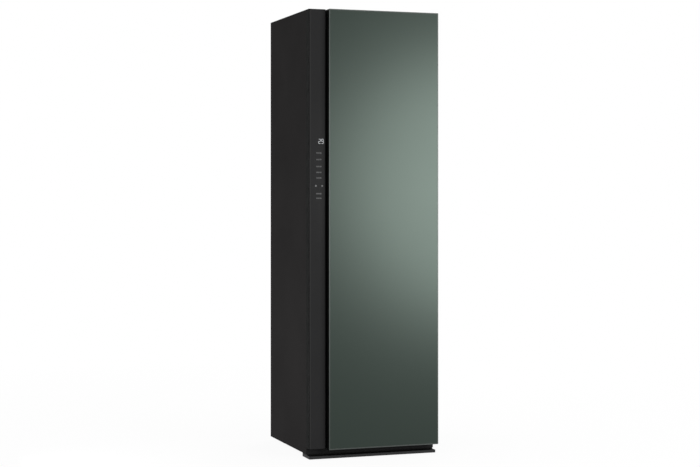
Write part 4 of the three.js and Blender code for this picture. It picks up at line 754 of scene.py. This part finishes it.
def woven_wires(run_axis):
    """Wires that run along one axis and stand beside each other along the other. Height is a
    cosine of the run over twice the pitch, with its sign changing from wire to wire."""
    place_axis = 1 - run_axis
    count = int((mesh_high - mesh_low)[place_axis] / mesh_pitch)
    half_pitch = mesh_pitch / 2
    low, high = mesh_low[place_axis] + half_pitch, mesh_high[place_axis] - half_pitch
    places = np.linspace(low, high, count)
    run = np.arange(mesh_low[run_axis], mesh_high[run_axis], mesh_pitch / 3)
    sign = np.where(np.arange(count) % 2 == run_axis, 1.0, -1.0)[:, None]
    wave = sign * np.cos(np.pi * (run - mesh_low[run_axis]) / mesh_pitch) * wire_radius
    turn = np.arange(4) * np.pi / 2 * (1 if run_axis == 0 else -1)
    wires = np.empty((count, run.size, 4, 3))
    wires[..., run_axis] = run[None, :, None]
    wires[..., place_axis] = places[:, None, None] + np.cos(turn) * wire_radius
    wires[..., 2] = mesh_height + wave[..., None] + np.sin(turn) * wire_radius
    return wires


for run_axis, name in enumerate(("filter_mesh_long", "filter_mesh_cross")):
    part = surface_piece(name, woven_wires(run_axis), zinc_steel, "filter")

# %% [markdown]
# ## Pipes
# The compressor needs pipes to its coil, and the pumps need moulded rubber pipes to the tanks
# and the steam generator. Each is a circle carried along a smooth path through a few points.
# The circle stands square to the path, on two directions worked out from the path's slope.

# %% Helper that bends a tube through points
def bent_tubes(routes, radius, steps=60, sides=12):
    """The path is a Catmull-Rom spline: on each span, a cubic whose slope at a point is half
    the way between its neighbours. The circle uses the cross products with the slope."""
    tubes = []
    aslant = [0.31, 0.87, 0.38]
    just_short = 1e-6
    for route in routes:
        points = np.asarray(route, float)
        before, after = 2 * points[:1] - points[1:2], 2 * points[-1:] - points[-2:-1]
        extended = np.concatenate([before, points, after])
        place = np.linspace(0, len(points) - 1 - just_short, steps)
        span, t = place.astype(int), (place % 1)[:, None]
        a, b, c, d = (extended[span + k] for k in range(4))
        square, cube = 2 * a - 5 * b + 4 * c - d, 3 * b - a - 3 * c + d
        path = 0.5 * (2 * b + (c - a) * t + square * t ** 2 + cube * t ** 3)
        slope = np.gradient(path, axis=0)
        slope /= np.linalg.norm(slope, axis=1, keepdims=True)
        side = np.cross(slope, aslant)
        side /= np.linalg.norm(side, axis=1, keepdims=True)
        other = np.cross(slope, side)
        angle = (np.arange(sides) / sides * 2 * np.pi)[None, :, None]
        circle = side[:, None] * np.cos(angle) + other[:, None] * np.sin(angle)
        tubes.append(path[:, None] + radius * circle)
    return np.array(tubes)


# %% Copper pipes and water pipes
copper = brushed(
    "copper_pipe", (0.42, 0.20, 0.12), (0.62, 0.32, 0.20), roughness=0.3,
    stretch=(1, 1, 1), scratch=0.004,
)
compressor_sink, coil_sink, port_sink = 0.012, 0.002, 0.001
compressor_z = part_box("compressor")[1].z - compressor_sink
coil_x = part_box("condenser")[1].x - coil_sink
copper_routes = [
    [
        (0.205, 0.050, compressor_z), (0.205, 0.050, 0.215), (0.192, 0.030, 0.262),
        (0.172, 0.008, 0.285), (coil_x, 0.008, 0.290),
    ],
    [
        (0.240, 0.090, compressor_z), (0.240, 0.090, 0.215), (0.228, 0.010, 0.246),
        (0.190, -0.060, 0.252), (coil_x, -0.062, 0.254),
    ],
]
copper_tubes = bent_tubes(copper_routes, radius=0.0032)
pipes = surface_piece("copper_pipes", copper_tubes, copper, "cabinet")
port_y = -0.0450
port_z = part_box("feed_pump")[1].z - port_sink
water_routes = [
    [
        (-0.065, port_y, port_z), (-0.065, port_y, 0.100), (-0.092, 0.000, 0.130),
        (-0.150, 0.060, 0.158), (-0.205, 0.090, 0.160), (-0.2232, 0.092, 0.1350),
    ],
    [
        (0.065, port_y, port_z), (0.065, port_y, 0.100), (0.084, -0.048, 0.124),
        (0.120, -0.070, 0.142), (0.139, -0.0970, 0.145),
    ],
]
water_tubes = bent_tubes(water_routes, radius=0.0042)
water_pipes = surface_piece("water_pipes", water_tubes, rubber, "cabinet")

# %% [markdown]
# ## Studio
# A pale floor and a white room stand round the cabinet. One soft lamp hangs in front and to
# the right, where the satin glass throws its light towards the camera. A wide soft sheet
# above lights the top, and a weak lamp behind shows the pressed ribs of the back. A small weak
# lamp low on the left stands for the light that a white floor sends up the side. The lamps
# stay at a plain level, so each colour looks as it is.

# %% Helper for soft lamps
def soft_lamp(name, place, aim, width, power):
    """A round sheet of light, turned from its place towards its aim."""
    light = bpy.data.lights.new(name, "AREA")
    light.shape = "DISK"
    light.size = width
    light.energy = power
    lamp = bpy.data.objects.new(name, light)
    lamp.location = place
    direction = np.subtract(aim, place)
    turn = math.atan2(direction[1], direction[0]) - math.pi / 2
    lift = math.atan2(direction[2], math.hypot(direction[0], direction[1]))
    lamp.rotation_euler = (math.pi / 2 + lift, 0, turn)
    lamp.visible_camera = False
    bpy.context.collection.objects.link(lamp)
    print(name, power, "W")


soft_lamp("door_lamp", (1.81, -3.3, 1.236), aim=(0.28, -0.305, 1.21), width=1.73, power=65)
soft_lamp("top_lamp", (0.0, 0.0, 4.6), aim=(0.0, 0.0, 0.0), width=2.8, power=60)
soft_lamp("side_lamp", (-1.5, -0.1, 0.22), aim=(-0.298, -0.1, 0.22), width=0.4, power=3.3)
soft_lamp("rear_lamp", (2.6, 3.2, 2.2), aim=(0.0, 0.28, 1.0), width=1.6, power=45)


# %% White room and pale floor
def background_rays(tree):
    """1 for rays from the camera, and for those that metal and glass send on, otherwise 0."""
    path = wire(tree, "ShaderNodeLightPath", {}).outputs
    seen = combined(tree, path["Is Camera Ray"], path["Is Glossy Ray"], "MAXIMUM")
    return combined(tree, seen, path["Is Transmission Ray"], "MAXIMUM")


room_light = 0.55
room = bpy.data.worlds.new("white_room")
room.use_nodes = True
bpy.context.scene.world = room
tree = room.node_tree
backdrop = tree.nodes["Background"]
backdrop.inputs["Color"].default_value = (1, 1, 1, 1)
strength = ranged(tree, background_rays(tree), low=room_light, start=0.0, end=1.0)
tree.links.new(strength, backdrop.inputs["Strength"])

near_distance, far_distance = 0.6, 4.0
near_share = 0.93
floor_paper, tree, paper = start_finish("floor_paper", Roughness=0.9)
grain = ranged(tree, clouds(tree, size=0.5))
coloured(tree, paper, grain, (0.84, 0.84, 0.84), (0.86, 0.86, 0.86))
distance = wire(tree, "ShaderNodeVectorMath", {0: on_piece(tree)}, operation="LENGTH")
share = ranged(
    tree, distance.outputs["Value"], low=near_share, start=near_distance, end=far_distance,
)
amount = combined(tree, share, background_rays(tree), "MULTIPLY")
white = wire(tree, "ShaderNodeEmission", {"Color": (1, 1, 1, 1), "Strength": 1.0})
feeds = {0: amount, 1: paper.outputs[0], 2: white.outputs[0]}
mixed = wire(tree, "ShaderNodeMixShader", feeds)
tree.links.new(mixed.outputs[0], tree.nodes["Material Output"].inputs["Surface"])
floor_reach = 30.0
floor_corners = ((-1, -1), (1, -1), (1, 1), (-1, 1))
corners = [(x * floor_reach, y * floor_reach, 0) for x, y in floor_corners]
floor_mesh = bpy.data.meshes.new("studio_floor")
floor_mesh.from_pydata(corners, [], [(0, 1, 2, 3)])
floor_mesh.materials.append(floor_paper)
floor = bpy.data.objects.new("studio_floor", floor_mesh)
bpy.context.collection.objects.link(floor)
